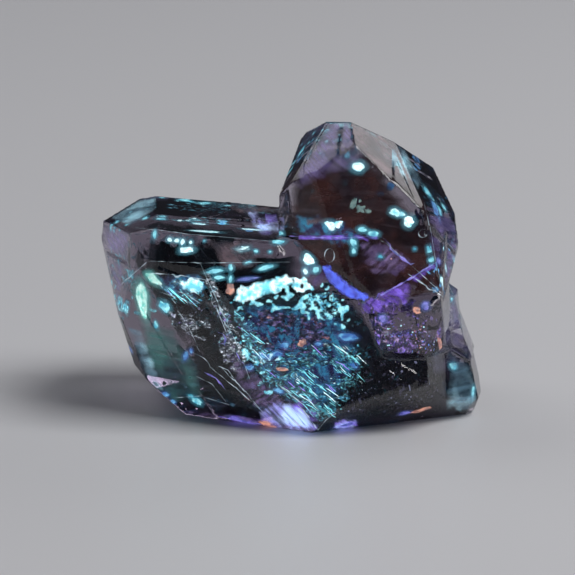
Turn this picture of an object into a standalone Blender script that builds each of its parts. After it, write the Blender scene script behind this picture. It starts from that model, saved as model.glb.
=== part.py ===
"""Petroleum quartz: a small intergrown cluster of clear, oil-bearing quartz crystals.

The cluster is one solid.  A large crystal lies on one of its facets, a second crystal leans out of
its upper right side, and a few small crystals are fused to the front and to the right end.  Every
crystal is a block cut by its own named crystal faces.  Growth steps, small points, striations and
etch pits are then joined to the crystals or cut into them.

Two old fractures in the large crystal hold its petroleum: a veil across the front of its heart, and
a slanting one at the left end of that.  Their films of bitumen and oil are one solid, in a hollow
that follows it all round.  The slanting fracture runs on as a narrow crack to the underside.

Axes: +X along the longest side, +Y from front to back, +Z up, in metres.  The origin is the middle
of the bounding box, at the level of the facet that the cluster rests on.  The crystals themselves
are laid out in millimetres in one growth frame, which is moved to that origin at the end.
"""
import math
import random
from dataclasses import dataclass

import bmesh
import bpy
from mathutils import Matrix, Vector
from mathutils.bvhtree import BVHTree

MM = 0.001
CLUSTER_NAME = "quartz_cluster"
FILMS_NAME = "petroleum_films"
COLLECTION_NAME = "petroleum_quartz"
SHAPING_COLLECTION_NAME = "shaping_solids"
GROWTH_COLLECTION_NAME = "growth_solids"
LAYER_COLLECTION_NAME = "layer_solids"
GROOVE_COLLECTION_NAME = "groove_cutters"
PIT_COLLECTION_NAME = "pit_cutters"
FILM_COLLECTION_NAME = "film_solids"
FRACTURE_COLLECTION_NAME = "fracture_cutters"

QUARTZ_COLOUR = (0.80, 0.78, 0.86, 1.0)
QUARTZ_ROUGHNESS = 0.04
QUARTZ_IOR = 1.544
BITUMEN_COLOUR = (0.03, 0.02, 0.025, 1.0)
BITUMEN_ROUGHNESS = 0.35

BLOCK_SIZE = 90.0               # mm, block that a crystal is cut from
SMALL_BLOCK_SIZE = 12.0         # mm, block that a small point is cut from
CRUMB_AREA = 1.0                # mm²
WELD_DISTANCE = 0.003           # mm, joins vertices that a cut leaves on top of each other
STEP_INSET = 0.10               # mm, how far a growth step keeps inside the neighbouring faces
STEP_ROOT_DEPTH = 0.7           # mm, how deep a growth step is rooted under its face
STEP_INSET_GAIN = 0.006         # mm more for each further step, so that no two share a side
STEP_STEEPNESS = 58.0           # degrees between a growth step's riser and the face it stands on
RHOMBOHEDRAL_ANGLE = 51.8       # degrees between a quartz prism face and its end face, seen level
WIDE_END_FACE_SHARE = 0.92      # how far every other end face of a small point leans out
STRIATION_RADIUS = 0.16         # mm, of the three-sided groove's section
STRIATION_DEPTH = 0.06          # mm
PIT_SIZE_RANGE = (0.6, 1.0)     # sizes of pits, as shares of the listed one
PIT_TIP_SHARE = 0.04            # radius at the bottom of a pit, as a share of that at its mouth
PIT_TURN = 90.0                 # degrees, way that the pits point in their face
PIT_MARGIN = 0.06               # mm, how far a pit's cutter stands above the surface
PROBE_HEIGHT = 3.0              # mm over a face from which the grown surface is felt for
FLAT_ENOUGH = 0.999             # cosine of the angle by which a pit's surface may lean
FILM_THICKNESS = 0.6            # mm
FILM_GAP = 0.3                  # mm between a film and the quartz, all round
RANDOM_SEED = 23


@dataclass(frozen=True)
class Face:
    """A flat crystal face: where it looks, in degrees, and how far out it lies, in millimetres.

    Azimuth 0 looks to the front (-Y) and 90 to the right (+X); elevation 90 looks straight up.
    """
    azimuth: float
    elevation: float
    distance: float

    def normal(self):
        azimuth = math.radians(self.azimuth)
        elevation = math.radians(self.elevation)
        level = math.cos(elevation)
        return Vector((math.sin(azimuth) * level, -math.cos(azimuth) * level, math.sin(elevation)))

    def across(self):
        """Level direction in the face, to the right as one looks at it."""
        return Vector((0, 0, 1)).cross(self.normal()).normalized()

    def up(self):
        return self.normal().cross(self.across()).normalized()


@dataclass(frozen=True)
class Crystal:
    """A convex crystal: its centre in millimetres and the faces that bound it."""
    name: str
    centre: tuple
    faces: dict

    def planes(self, skip=None, inset=0.0):
        centre = Vector(self.centre)
        return [(centre + face.normal() * (face.distance - inset), face.normal())
                for name, face in self.faces.items() if name != skip]

    def point_on(self, face_name, across=0.0, up=0.0, out=0.0):
        face = self.faces[face_name]
        foot = Vector(self.centre) + face.normal() * (face.distance + out)
        return foot + face.across() * across + face.up() * up


@dataclass(frozen=True)
class GrowthStep:
    """A low layer on a crystal face.  Its sides are (direction, distance) from a spot on the face.

    Directions are in degrees in the face, 0 to the right and 90 up, and distances in millimetres.
    """
    face: str
    spot: tuple
    height: float
    sides: tuple


@dataclass(frozen=True)
class SmallPoint:
    """A small hexagonal crystal, pointed at both ends, half sunk into what it grew from."""
    centre: tuple
    azimuth: float
    elevation: float
    radius: float
    half_length: float
    turn: float = 0.0


@dataclass(frozen=True)
class Film:
    """A film in an old fracture of a crystal, square to a direction given in degrees.

    It lies so far from the crystal's centre, and ends at the rim's distance inside the crystal's
    faces, or at bounds of its own, which are measured from the same centre.
    """
    name: str
    crystal: Crystal
    facing: tuple
    distance: float
    rim: float
    bounds: tuple = ()

    def planes(self, growth=0.0):
        centre = Vector(self.crystal.centre)
        normal = Face(*self.facing, self.distance).normal()
        middle = centre + normal * self.distance
        half = FILM_THICKNESS / 2 + growth
        sides = [(middle + normal * half, normal), (middle - normal * half, -normal)]
        ends = [(centre + bound.normal() * (bound.distance + growth), bound.normal())
                for bound in self.bounds]
        return self.crystal.planes(inset=self.rim - growth) + sides + ends


@dataclass(frozen=True)
class EtchPits:
    """Three-sided etch pits scattered over a face, all pointing the same way."""
    face: str
    spread: tuple
    count: int
    radius: float
    depth: float


@dataclass(frozen=True)
class Striations:
    """Fine parallel grooves across a face, at the listed offsets, in millimetres."""
    face: str
    direction: float
    offsets: tuple
    half_length: float


MAIN = Crystal(
    name="main_crystal",
    centre=(0.0, 9.0, 8.0),
    faces={
        "rest": Face(0, -90, 8.0),
        "top": Face(80, 85, 6.6),
        "top_left": Face(-84, 76, 9.8),
        "left_end": Face(-69, 4, 13.2),
        "left_prism": Face(-47, 6, 12.1),
        "left_lower": Face(-33, -11, 9.2),
        "left_under": Face(-71, -20, 12.5),
        "upper_front_left": Face(-18, 34, 9.8),
        "upper_front": Face(5, 45, 8.0),
        "front_left": Face(-21, -4, 8.3),
        "front": Face(3, 15, 7.5),
        "under_front": Face(-27, -28, 9.3),
        "under_right": Face(23, -43, 11.4),
        "under_left": Face(-81, -47, 11.6),
        "right_front": Face(64, 9, 12.6),
        "right_end": Face(100, 15, 12.7),
        "right_under": Face(79, -42, 16.1),
        "right_upper": Face(88, 49, 9.8),
        "back_left": Face(-120, 8, 14.9),
        "back_left_under": Face(-88, -15, 13.0),
        "back_upper": Face(174, 45, 9.4),
        "back": Face(179, -3, 9.5),
        "back_under": Face(-176, -46, 9.5),
        "back_right": Face(136, 6, 14.3),
        "back_right_under": Face(128, -40, 14.6),
        "back_left_foot": Face(-136, -38, 14.2),
    },
)
UPPER = Crystal(
    name="upper_crystal",
    centre=(6.0, 7.0, 15.0),
    faces={
        "front": Face(0, 14, 4.15),
        "front_top": Face(-49, 49, 6.9),
        "front_left": Face(-27, 5, 4.8),
        "under_left": Face(-38, -22, 5.4),
        "right_top": Face(65, 47, 5.5),
        "right_upper": Face(78, 39, 5.5),
        "right": Face(69, 17, 5.8),
        "right_under": Face(88, -21, 7.6),
        "top_back": Face(152, 60, 7.2),
        "top_left": Face(-86, 37, 7.2),
        "left": Face(-105, -6, 5.7),
        "back": Face(-177, 9, 7.1),
        "back_right": Face(124, -15, 7.1),
        "under": Face(8, -46, 7.0),
        "under_back": Face(176, -49, 7.8),
    },
)
FRONT_LUMP = Crystal(
    name="front_lump",
    centre=(9.0, 3.2, 8.4),
    faces={
        "front": Face(4, 4, 2.75),
        "front_left": Face(-46, -6, 3.0),
        "front_right": Face(44, -6, 3.05),
        "front_under": Face(4, -42, 3.2),
        "left": Face(-80, -14, 3.25),
        "left_under": Face(-60, -50, 3.2),
        "under": Face(6, -76, 3.3),
        "right_under": Face(58, -44, 3.5),
        "right": Face(80, 4, 3.3),
        "top": Face(0, 50, 3.0),
        "back": Face(180, 0, 3.0),
    },
)
RIGHT_STEP = Crystal(
    name="right_step",
    centre=(12.0, 8.6, 5.2),
    faces={
        "right_upper": Face(86, 22, 2.35),
        "right_lower": Face(84, -14, 2.85),
        "front": Face(36, 8, 3.2),
        "front_under": Face(50, -38, 3.0),
        "back": Face(150, 6, 3.2),
        "top": Face(70, 56, 2.5),
        "under": Face(88, -72, 2.6),
        "left": Face(-90, 0, 3.0),
    },
)
RIGHT_SHOULDER = Crystal(
    name="right_shoulder",
    centre=(11.6, 9.0, 8.4),
    faces={
        "right": Face(82, 4, 1.85),
        "right_upper": Face(76, 44, 1.75),
        "right_under": Face(80, -44, 1.95),
        "front": Face(32, 8, 1.9),
        "front_upper": Face(28, 52, 1.95),
        "top": Face(80, 82, 1.9),
        "back": Face(150, 8, 2.4),
        "back_upper": Face(140, 52, 2.1),
        "left": Face(-90, 0, 2.6),
        "under": Face(90, -80, 2.4),
    },
)
RIGHT_FOOT = Crystal(
    name="right_foot",
    centre=(12.2, 7.4, 2.9),
    faces={
        "right": Face(84, 13, 2.68),
        "right_lower": Face(82, -20, 3.42),
        "right_under": Face(84, -56, 3.75),
        "right_upper": Face(86, 50, 2.6),
        "front": Face(44, 14, 2.9),
        "front_under": Face(50, -40, 3.5),
        "front_left_under": Face(23, -43, 3.25),
        "back": Face(140, 8, 3.6),
        "back_under": Face(138, -40, 3.3),
        "left": Face(-90, 0, 2.0),
        "under": Face(90, -88, 2.82),
    },
)
CRYSTALS = (MAIN, UPPER, FRONT_LUMP, RIGHT_STEP, RIGHT_SHOULDER, RIGHT_FOOT)

# Low layers on the faces: each is a step higher than the one it lies on.
MAIN_STEPS = (
    GrowthStep("front", (1.7, -8.5), 0.12, ((-152, 0.9), (100, 3.6), (20, 6.0))),
    GrowthStep("front", (1.7, -8.5), 0.22, ((-150, 0.3), (96, 2.3), (14, 4.8))),
    GrowthStep("front", (6.0, -5.0), 0.16, ((-150, 2.0), (-40, 3.4), (60, 1.6), (120, 1.4), (5, 3.6))),
    GrowthStep("front", (6.4, -5.2), 0.28, ((-160, 1.1), (-52, 2.2), (52, 0.9), (130, 0.8), (-5, 2.2))),
    GrowthStep("front_left", (-2.2, 1.5), 0.14, ((32, 0.2), (150, 3.0), (-90, 7.5))),
    GrowthStep("front_left", (-2.2, 1.5), 0.24, ((30, -0.5), (150, 1.6), (-90, 4.6))),
    GrowthStep("front_left", (-5.6, 3.6), 0.10, ((-40, 1.2), (74, 1.1), (170, 2.2))),
    GrowthStep("upper_front", (-4.6, 0.4), 0.10, ((-88, 0.4), (160, 2.6), (24, 3.4))),
    GrowthStep("upper_front_left", (0.0, 0.2), 0.09, ((-84, 0.5), (20, 1.8))),
    GrowthStep("top", (0.0, 5.6), 0.12, ((78, 2.2), (190, 1.8), (-60, 3.0))),
    GrowthStep("top", (0.4, 5.4), 0.22, ((70, 1.0), (196, 1.0), (-66, 1.7), (10, 3.0))),
    GrowthStep("left_prism", (-1.0, -0.6), 0.12, ((62, 1.6), (-118, 2.4))),
    GrowthStep("left_lower", (-3.0, -1.0), 0.12, ((28, 1.9), (-150, 1.8), (-80, 4.0))),
    GrowthStep("left_end", (0.0, 1.0), 0.12, ((92, 2.6), (-88, 1.9))),
    GrowthStep("under_front", (0.0, -2.0), 0.10, ((18, 3.0), (200, 3.4))),
    GrowthStep("right_front", (3.4, -4.6), 0.12, ((96, 1.8), (-84, 2.6), (180, 2.2))),
    GrowthStep("right_front", (4.2, -5.2), 0.22, ((90, 0.9), (-92, 1.4), (184, 1.5))),
    GrowthStep("right_end", (0.0, 0.0), 0.14, ((70, 2.2), (-110, 3.6))),
    GrowthStep("back", (-2.0, 0.5), 0.22, ((8, 6.2), (172, 7.4), (-84, 3.9), (88, 3.6))),
    GrowthStep("back", (-2.6, 0.2), 0.42, ((4, 4.3), (176, 5.2), (-90, 2.8), (84, 2.3))),
    GrowthStep("back", (-3.2, 0.0), 0.60, ((0, 2.2), (180, 3.4), (-94, 1.7), (90, 1.1))),
    GrowthStep("back_left", (0.4, 1.0), 0.16, ((90, 2.4), (-90, 2.6))),
    GrowthStep("back_left", (0.4, 1.0), 0.30, ((92, 1.3), (-92, 1.0), (10, 3.2))),
    GrowthStep("back_upper", (-3.0, 0.0), 0.14, ((-70, 1.0), (20, 3.6), (160, 4.0))),
)
UPPER_STEPS = (
    GrowthStep("front", (1.2, -0.8), 0.10, ((52, 0.0), (100, 1.6))),
    GrowthStep("front", (1.2, -0.8), 0.20, ((51, -0.55), (104, 0.9))),
    GrowthStep("front", (1.2, -0.8), 0.30, ((50, -1.1), (108, 0.2))),
    GrowthStep("front_top", (0.0, 0.0), 0.10, ((34, 1.4), (-140, 1.5))),
    GrowthStep("right", (1.6, -1.4), 0.12, ((60, 0.5), (-130, 1.4))),
    GrowthStep("right_top", (0.0, 0.4), 0.10, ((120, 1.2), (-50, 1.6))),
    GrowthStep("left", (1.0, 1.0), 0.14, ((88, 1.9), (-92, 2.0))),
    GrowthStep("left", (1.0, 1.0), 0.26, ((84, 0.9), (-96, 1.0))),
    GrowthStep("back", (-0.6, 2.4), 0.20, ((90, 2.6), (-90, 3.0), (0, 3.6), (180, 3.2))),
    GrowthStep("back", (-0.8, 2.2), 0.38, ((92, 1.6), (-88, 1.8), (4, 2.2), (176, 2.0))),
    GrowthStep("back_right", (0.0, 1.0), 0.16, ((96, 2.0), (-84, 2.2))),
    GrowthStep("top_back", (0.0, 0.0), 0.12, ((-80, 1.4), (160, 2.2), (30, 2.0))),
)
GROWTH_STEPS = ((MAIN, MAIN_STEPS), (UPPER, UPPER_STEPS))

SMALL_POINTS = (
    SmallPoint(centre=(10.8, 12.9, 8.8), azimuth=142, elevation=38, radius=1.15, half_length=3.4, turn=8),
    SmallPoint(centre=(4.4, 15.6, 12.6), azimuth=166, elevation=50, radius=1.1, half_length=3.4, turn=15),
    SmallPoint(centre=(6.9, 16.2, 11.2), azimuth=184, elevation=30, radius=0.8, half_length=2.7, turn=40),
    SmallPoint(centre=(-12.0, 13.4, 9.4), azimuth=-118, elevation=30, radius=0.8, half_length=2.6, turn=25),
)


FILMS = (
    Film("heart_veil", MAIN, (3, 15), 4.9, 1.2,
         (Face(-90, -45, 5.8), Face(0, 90, 2.6), Face(90, 54.6, 4.2), Face(90, 0, 10.8))),
    Film("slanting_fracture", MAIN, (90, 27), -3.9, 1.5,
         (Face(180, 0, -2.05), Face(3, 15, 5.05))),
)
CRACK = Film("crack", MAIN, (90, 27), -3.9, -1.0,
             (Face(0, 0, 5.8), Face(180, 0, -3.2), Face(0, 90, -5.6)))

MAIN_PITS = (
    EtchPits("front_left", (2.6, 2.8), 4, 0.26, 0.12),
    EtchPits("front", (4.4, 2.6), 5, 0.24, 0.10),
    EtchPits("left_lower", (2.2, 2.0), 4, 0.28, 0.12),
    EtchPits("back", (7.0, 3.6), 9, 0.42, 0.20),
    EtchPits("back_left", (2.4, 3.0), 5, 0.36, 0.16),
    EtchPits("back_upper", (5.0, 1.2), 5, 0.34, 0.15),
    EtchPits("right_front", (1.8, 3.0), 4, 0.30, 0.12),
)
UPPER_PITS = (
    EtchPits("back", (2.6, 2.8), 6, 0.38, 0.17),
    EtchPits("back_right", (2.0, 2.4), 4, 0.32, 0.14),
    EtchPits("left", (1.8, 2.2), 3, 0.28, 0.11),
)
ETCH_PITS = ((MAIN, MAIN_PITS), (UPPER, UPPER_PITS))


MAIN_STRIATIONS = (
    Striations("left_prism", 152.0, (-2.6, -2.1, -0.9, 1.3, 1.9, 3.2), 3.4),
    Striations("back", 2.0, (-5.2, -4.6, 4.5, 5.1), 9.0),
    Striations("back_left", 0.0, (-4.2, -3.7, 3.6, 4.1), 4.2),
    Striations("left_end", 4.0, (-3.2, -2.7, 3.3), 3.2),
)
UPPER_STRIATIONS = (
    Striations("back", 0.0, (-1.9, -1.4, 5.6, 6.1), 4.0),
    Striations("left", -4.0, (1.6, 2.1, 3.4), 2.2),
)
STRIATIONS = ((MAIN, MAIN_STRIATIONS), (UPPER, UPPER_STRIATIONS))


def clear_scene():
    for old_object in list(bpy.data.objects):
        bpy.data.objects.remove(old_object, do_unlink=True)


def new_collection(name):
    collection = bpy.data.collections.new(name)
    bpy.context.scene.collection.children.link(collection)
    return collection


def new_object(name, bm, collection):
    bmesh.ops.recalc_face_normals(bm, faces=bm.faces)
    mesh = bpy.data.meshes.new(name)
    bm.to_mesh(mesh)
    bm.free()
    made = bpy.data.objects.new(name, mesh)
    collection.objects.link(made)
    return made


def cut_to_plane(bm, point, normal):
    """Removes what lies outside a plane and closes the cut with one flat face."""
    geometry = bm.verts[:] + bm.edges[:] + bm.faces[:]
    result = bmesh.ops.bisect_plane(
        bm, geom=geometry, dist=1e-8, plane_co=point * MM, plane_no=normal, clear_outer=True)
    rim = [item for item in result["geom_cut"] if isinstance(item, bmesh.types.BMEdge)]
    if rim:
        bmesh.ops.contextual_create(bm, geom=rim)


def solid_between(centre, planes, block_size=BLOCK_SIZE):
    """A block round a centre, cut by planes given as (point, outward normal) in millimetres."""
    bm = bmesh.new()
    place = Matrix.Translation(Vector(centre) * MM)
    bmesh.ops.create_cube(bm, size=block_size * MM, matrix=place)
    for point, normal in planes:
        cut_to_plane(bm, point, normal)
    bmesh.ops.remove_doubles(bm, verts=bm.verts, dist=WELD_DISTANCE * MM)
    return bm


def add_crystal(crystal, collection):
    return new_object(crystal.name, solid_between(crystal.centre, crystal.planes()), collection)


def add_growth_step(crystal, step, number, collection):
    """Raises part of a face by a low layer whose risers lean back as crystal risers do."""
    face = crystal.faces[step.face]
    planes = crystal.planes(skip=step.face, inset=STEP_INSET + STEP_INSET_GAIN * number)
    planes.append((crystal.point_on(step.face, out=step.height), face.normal()))
    planes.append((crystal.point_on(step.face, out=-STEP_ROOT_DEPTH), -face.normal()))
    lean = math.radians(STEP_STEEPNESS)
    for direction, distance in step.sides:
        angle = math.radians(direction)
        outward = face.across() * math.cos(angle) + face.up() * math.sin(angle)
        normal = face.normal() * math.cos(lean) + outward * math.sin(lean)
        foot = crystal.point_on(step.face, *step.spot) + outward * distance
        planes.append((foot, normal))
    name = f"{crystal.name}_step_{number:02d}"
    return new_object(name, solid_between(crystal.centre, planes), collection)


def add_small_point(point, name, collection):
    along = Face(point.azimuth, point.elevation, 0.0).normal()
    across = along.orthogonal().normalized()
    centre = Vector(point.centre)
    rise = math.radians(90.0 - RHOMBOHEDRAL_ANGLE)
    planes = []
    for side in range(6):
        spin = Matrix.Rotation(math.radians(point.turn + 60.0 * side), 3, along)
        outward = spin @ across
        planes.append((centre + outward * point.radius, outward))
        for end in (1, -1):
            lean_out = 1.0 if side % 2 else WIDE_END_FACE_SHARE
            normal = outward * math.sin(rise) * lean_out + along * math.cos(rise) * end
            tip = centre + along * point.half_length * end
            planes.append((tip, normal.normalized()))
    bm = solid_between(point.centre, planes, SMALL_BLOCK_SIZE)
    return new_object(name, bm, collection)


def face_matrix(crystal, face_name, across, up, out, turn=0.0):
    """Placement on a face: local X to the right, Y up along the face and Z outwards."""
    face = crystal.faces[face_name]
    axes = Matrix((face.across(), face.up(), face.normal())).transposed().to_4x4()
    place = Matrix.Translation(crystal.point_on(face_name, across, up, out) * MM)
    return place @ axes @ Matrix.Rotation(math.radians(turn), 4, "Z")


def height_of_surface(surface, crystal, face_name, across, up):
    """How far the grown surface stands over a crystal face, or None off the face or on a riser."""
    normal = crystal.faces[face_name].normal()
    start = crystal.point_on(face_name, across, up, PROBE_HEIGHT) * MM
    hit, hit_normal, _, distance = surface.ray_cast(start, -normal)
    if hit is None or hit_normal.dot(normal) < FLAT_ENOUGH:
        return None
    return PROBE_HEIGHT - distance / MM


def add_etch_pits(surface, crystal, pits, name, collection):
    """Scatters three-sided pits, each a cone that narrows to a point below the surface."""
    for number in range(pits.count):
        size = random.uniform(*PIT_SIZE_RANGE)
        across = random.uniform(-pits.spread[0], pits.spread[0])
        up = random.uniform(-pits.spread[1], pits.spread[1])
        level = height_of_surface(surface, crystal, pits.face, across, up)
        if level is None:
            continue
        depth = pits.depth * size
        height = depth + PIT_MARGIN
        radius = pits.radius * size * height / depth
        out = level + PIT_MARGIN - height / 2
        place = face_matrix(crystal, pits.face, across, up, out, turn=PIT_TURN)
        bm = bmesh.new()
        bmesh.ops.create_cone(
            bm, cap_ends=True, segments=3, radius1=radius * PIT_TIP_SHARE * MM, radius2=radius * MM,
            depth=height * MM, matrix=place)
        new_object(f"{name}_{number:02d}", bm, collection)


def add_striations(crystal, grooves, name, collection):
    """Lays three-sided bars along a face, with one edge down in it."""
    angle = math.radians(grooves.direction)
    for number, offset in enumerate(grooves.offsets):
        across = -math.sin(angle) * offset
        up = math.cos(angle) * offset
        out = STRIATION_RADIUS - STRIATION_DEPTH
        place = face_matrix(crystal, grooves.face, across, up, out, turn=grooves.direction)
        lay_along = Matrix.Rotation(math.radians(90.0), 4, "Y")
        bm = bmesh.new()
        bmesh.ops.create_cone(
            bm, cap_ends=True, segments=3, radius1=STRIATION_RADIUS * MM,
            radius2=STRIATION_RADIUS * MM, depth=2 * grooves.half_length * MM,
            matrix=place @ lay_along)
        new_object(f"{name}_{number:02d}", bm, collection)


def shape_core(core, solids, operation):
    """Joins solids to the core, or cuts them out of it, one after another."""
    modifier = core.modifiers.new("shape", "BOOLEAN")
    modifier.operation = operation
    modifier.solver = "EXACT"
    for solid in solids:
        modifier.object = solid
        bpy.context.view_layer.update()
        evaluated = core.evaluated_get(bpy.context.evaluated_depsgraph_get())
        core.data = bpy.data.meshes.new_from_object(evaluated)
    core.modifiers.remove(modifier)


def surface_tree(core):
    bm = bmesh.new()
    bm.from_mesh(core.data)
    tree = BVHTree.FromBMesh(bm)
    bm.free()
    return tree


def hide_shaping_solids(collections):
    for collection in collections:
        for solid in collection.objects:
            solid.hide_render = True
            solid.display_type = "WIRE"


def add_film(film, growth, collection):
    """Makes a film, or with growth the fracture that it lies in."""
    bm = solid_between(film.crystal.centre, film.planes(growth))
    return new_object(film.name, bm, collection)


def bitumen_material():
    """Dark bitumen with a dull shine."""
    material = bpy.data.materials.new("bitumen")
    material.use_nodes = True
    shader = material.node_tree.nodes["Principled BSDF"]
    shader.inputs["Base Color"].default_value = BITUMEN_COLOUR
    shader.inputs["Roughness"].default_value = BITUMEN_ROUGHNESS
    shader.inputs["Metallic"].default_value = 0.0
    return material


def glassy_material():
    """Clear, slightly smoky quartz with its oil showing through as a violet brown."""
    material = bpy.data.materials.new("quartz")
    material.use_nodes = True
    shader = material.node_tree.nodes["Principled BSDF"]
    shader.inputs["Base Color"].default_value = QUARTZ_COLOUR
    shader.inputs["Roughness"].default_value = QUARTZ_ROUGHNESS
    shader.inputs["Metallic"].default_value = 0.0
    shader.inputs["IOR"].default_value = QUARTZ_IOR
    shader.inputs["Transmission Weight"].default_value = 1.0
    return material


def joined_faces(start):
    """All faces that hang together with one."""
    found = {start}
    waiting = [start]
    while waiting:
        for edge in waiting.pop().edges:
            for neighbour in edge.link_faces:
                if neighbour not in found:
                    found.add(neighbour)
                    waiting.append(neighbour)
    return found


def surface_area(body):
    return sum(face.calc_area() for face in body)


def drop_crumbs(bm):
    """Drops the chips that a cut leaves loose, and stops at a loose body too large to be one."""
    left = set(bm.faces)
    bodies = []
    while left:
        body = joined_faces(next(iter(left)))
        left -= body
        bodies.append(body)
    bodies.sort(key=surface_area)
    for body in bodies[:-1]:
        if surface_area(body) > CRUMB_AREA * MM ** 2:
            raise ValueError("a body has come apart from the rest of its solid")
    crumbs = [face for body in bodies[:-1] for face in body]
    bmesh.ops.delete(bm, geom=crumbs, context="FACES")


def clean_mesh(mesh):
    """Joins vertices left on top of each other and drops faces that have no width."""
    bm = bmesh.new()
    bm.from_mesh(mesh)
    bmesh.ops.remove_doubles(bm, verts=bm.verts, dist=WELD_DISTANCE * MM)
    bmesh.ops.dissolve_degenerate(bm, edges=bm.edges, dist=WELD_DISTANCE * MM)
    bmesh.ops.triangulate(bm, faces=bm.faces)
    drop_crumbs(bm)
    bm.to_mesh(mesh)
    bm.free()


def shift_to_origin(mesh):
    """The move that stands a mesh's box on the origin, with the middle over it."""
    corners = [[vertex.co[axis] for vertex in mesh.vertices] for axis in range(3)]
    middle_x = (min(corners[0]) + max(corners[0])) / 2
    middle_y = (min(corners[1]) + max(corners[1])) / 2
    return Matrix.Translation((-middle_x, -middle_y, -min(corners[2])))


def finished_mesh(core, name, material):
    """Takes a shaped core as it stands, cleans its mesh and gives it its material."""
    mesh = core.data.copy()
    mesh.name = name
    clean_mesh(mesh)
    mesh.materials.clear()
    mesh.materials.append(material)
    return mesh


def add_finished_object(name, mesh, shift, collection):
    mesh.transform(shift)
    collection.objects.link(bpy.data.objects.new(name, mesh))


def main():
    random.seed(RANDOM_SEED)
    clear_scene()
    collection = new_collection(COLLECTION_NAME)
    shaping = new_collection(SHAPING_COLLECTION_NAME)
    growth = new_collection(GROWTH_COLLECTION_NAME)
    layers = new_collection(LAYER_COLLECTION_NAME)
    grooves = new_collection(GROOVE_COLLECTION_NAME)
    pits = new_collection(PIT_COLLECTION_NAME)
    films = new_collection(FILM_COLLECTION_NAME)
    fractures = new_collection(FRACTURE_COLLECTION_NAME)

    core = add_crystal(MAIN, shaping)
    for crystal in CRYSTALS[1:]:
        add_crystal(crystal, growth)
    for number, point in enumerate(SMALL_POINTS, start=1):
        add_small_point(point, f"small_point_{number:02d}", growth)
    shape_core(core, growth.objects, "UNION")

    for crystal, groups in STRIATIONS:
        for group in groups:
            add_striations(crystal, group, f"{crystal.name}_{group.face}_groove", grooves)
    shape_core(core, grooves.objects, "DIFFERENCE")

    for crystal, steps in GROWTH_STEPS:
        for number, step in enumerate(steps, start=1):
            add_growth_step(crystal, step, number, layers)
    shape_core(core, layers.objects, "UNION")

    surface = surface_tree(core)
    for crystal, groups in ETCH_PITS:
        for group in groups:
            add_etch_pits(surface, crystal, group, f"{crystal.name}_{group.face}_pit", pits)
    shape_core(core, pits.objects, "DIFFERENCE")

    for film in FILMS:
        add_film(film, FILM_GAP, fractures)
    add_film(CRACK, 0.0, fractures)
    shape_core(core, fractures.objects, "DIFFERENCE")

    film_core, *other_films = [add_film(film, 0.0, films) for film in FILMS]
    shape_core(film_core, other_films, "UNION")

    hide_shaping_solids((shaping, growth, layers, grooves, pits, films, fractures))
    quartz_mesh = finished_mesh(core, CLUSTER_NAME, glassy_material())
    film_mesh = finished_mesh(film_core, FILMS_NAME, bitumen_material())
    shift = shift_to_origin(quartz_mesh)
    add_finished_object(CLUSTER_NAME, quartz_mesh, shift, collection)
    add_finished_object(FILMS_NAME, film_mesh, shift, collection)


main()
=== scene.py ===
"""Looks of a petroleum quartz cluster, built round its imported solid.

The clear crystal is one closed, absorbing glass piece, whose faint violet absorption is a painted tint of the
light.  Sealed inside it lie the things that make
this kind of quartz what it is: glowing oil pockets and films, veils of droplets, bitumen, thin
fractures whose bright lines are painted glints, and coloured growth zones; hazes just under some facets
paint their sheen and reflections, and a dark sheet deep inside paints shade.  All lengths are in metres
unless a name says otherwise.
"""

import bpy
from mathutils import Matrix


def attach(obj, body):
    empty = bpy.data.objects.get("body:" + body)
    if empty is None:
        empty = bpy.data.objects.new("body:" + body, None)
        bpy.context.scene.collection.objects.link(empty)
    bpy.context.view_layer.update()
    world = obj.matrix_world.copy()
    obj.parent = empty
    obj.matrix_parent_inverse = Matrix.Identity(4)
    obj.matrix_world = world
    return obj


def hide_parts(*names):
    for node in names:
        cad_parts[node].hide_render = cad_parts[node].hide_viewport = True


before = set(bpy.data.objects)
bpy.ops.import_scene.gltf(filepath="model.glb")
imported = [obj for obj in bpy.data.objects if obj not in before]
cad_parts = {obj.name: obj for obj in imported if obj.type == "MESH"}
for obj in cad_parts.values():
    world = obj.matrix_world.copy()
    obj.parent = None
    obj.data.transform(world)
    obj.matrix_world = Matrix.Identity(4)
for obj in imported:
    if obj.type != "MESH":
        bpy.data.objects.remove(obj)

import copy
import logging
import math
import random
from dataclasses import dataclass, field, replace
from enum import Enum
from typing import Optional, Sequence

import bmesh
import bpy
from mathutils import Matrix, Vector, noise
from mathutils.bvhtree import BVHTree

LOG = logging.getLogger("petroleum_quartz")
MM = 0.001
NODE_NAME = "quartz_cluster"
FILMS_NAME = "petroleum_films"
BODY_NAME = "root"
QUARTZ_IOR = 1.544
FRAME_PX = 575
EDGE_ATTRIBUTE = "edge"
# Without a seed of its own, the noise vector starts from the clock and every run differs.
NOISE_SEED = 7
# Cosines: of facets that count as one, and of the angle at which a sight line only skims one.
SAME_FACET = 0.985
GRAZING = 0.775
# How far under the surface things are kept, and how much of that is enough.
SKIN = 0.08 * MM
SKIN_SLACK = 0.9
SHALLOWEST = 0.06 * MM
GRAIN_MARGIN = 0.03 * MM
# Least length of a sight line inside the crystal, and the share of it that things may reach.
THINNEST_SPOT = 0.3 * MM
DEEPEST_SHARE = 0.8
RAY_START = 1e-6
MERGE_DISTANCE = 1e-7
# What counts as the facet that the crystal rests on.
REST_NORMAL_Z = -0.999
REST_HEIGHT = 0.05 * MM
# The remesher needs numbers near one, so it works on an enlarged copy.
REMESH_SCALE = 1000.0
LARGE_POCKET_PX = 7
THREAD_STEP_PX = 2.5
RING_SIDES = 12
# Noise of the sheets' edges and holes: sizes in pixels, and the level that a gap share starts from.
STRAY_WIDE_PX = 7.0
STRAY_FINE_PX = 2.6
HOLE_SIZE_PX = 5.0
HOLE_LEVEL = 0.6
# Halos: gain on the pocket's size, and pixels added to it.
HALO = (1.7, 3.0)
FAR_HALO = (1.5, 3.0)
WIDE_HALO = (1.5, 6.0)
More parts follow.
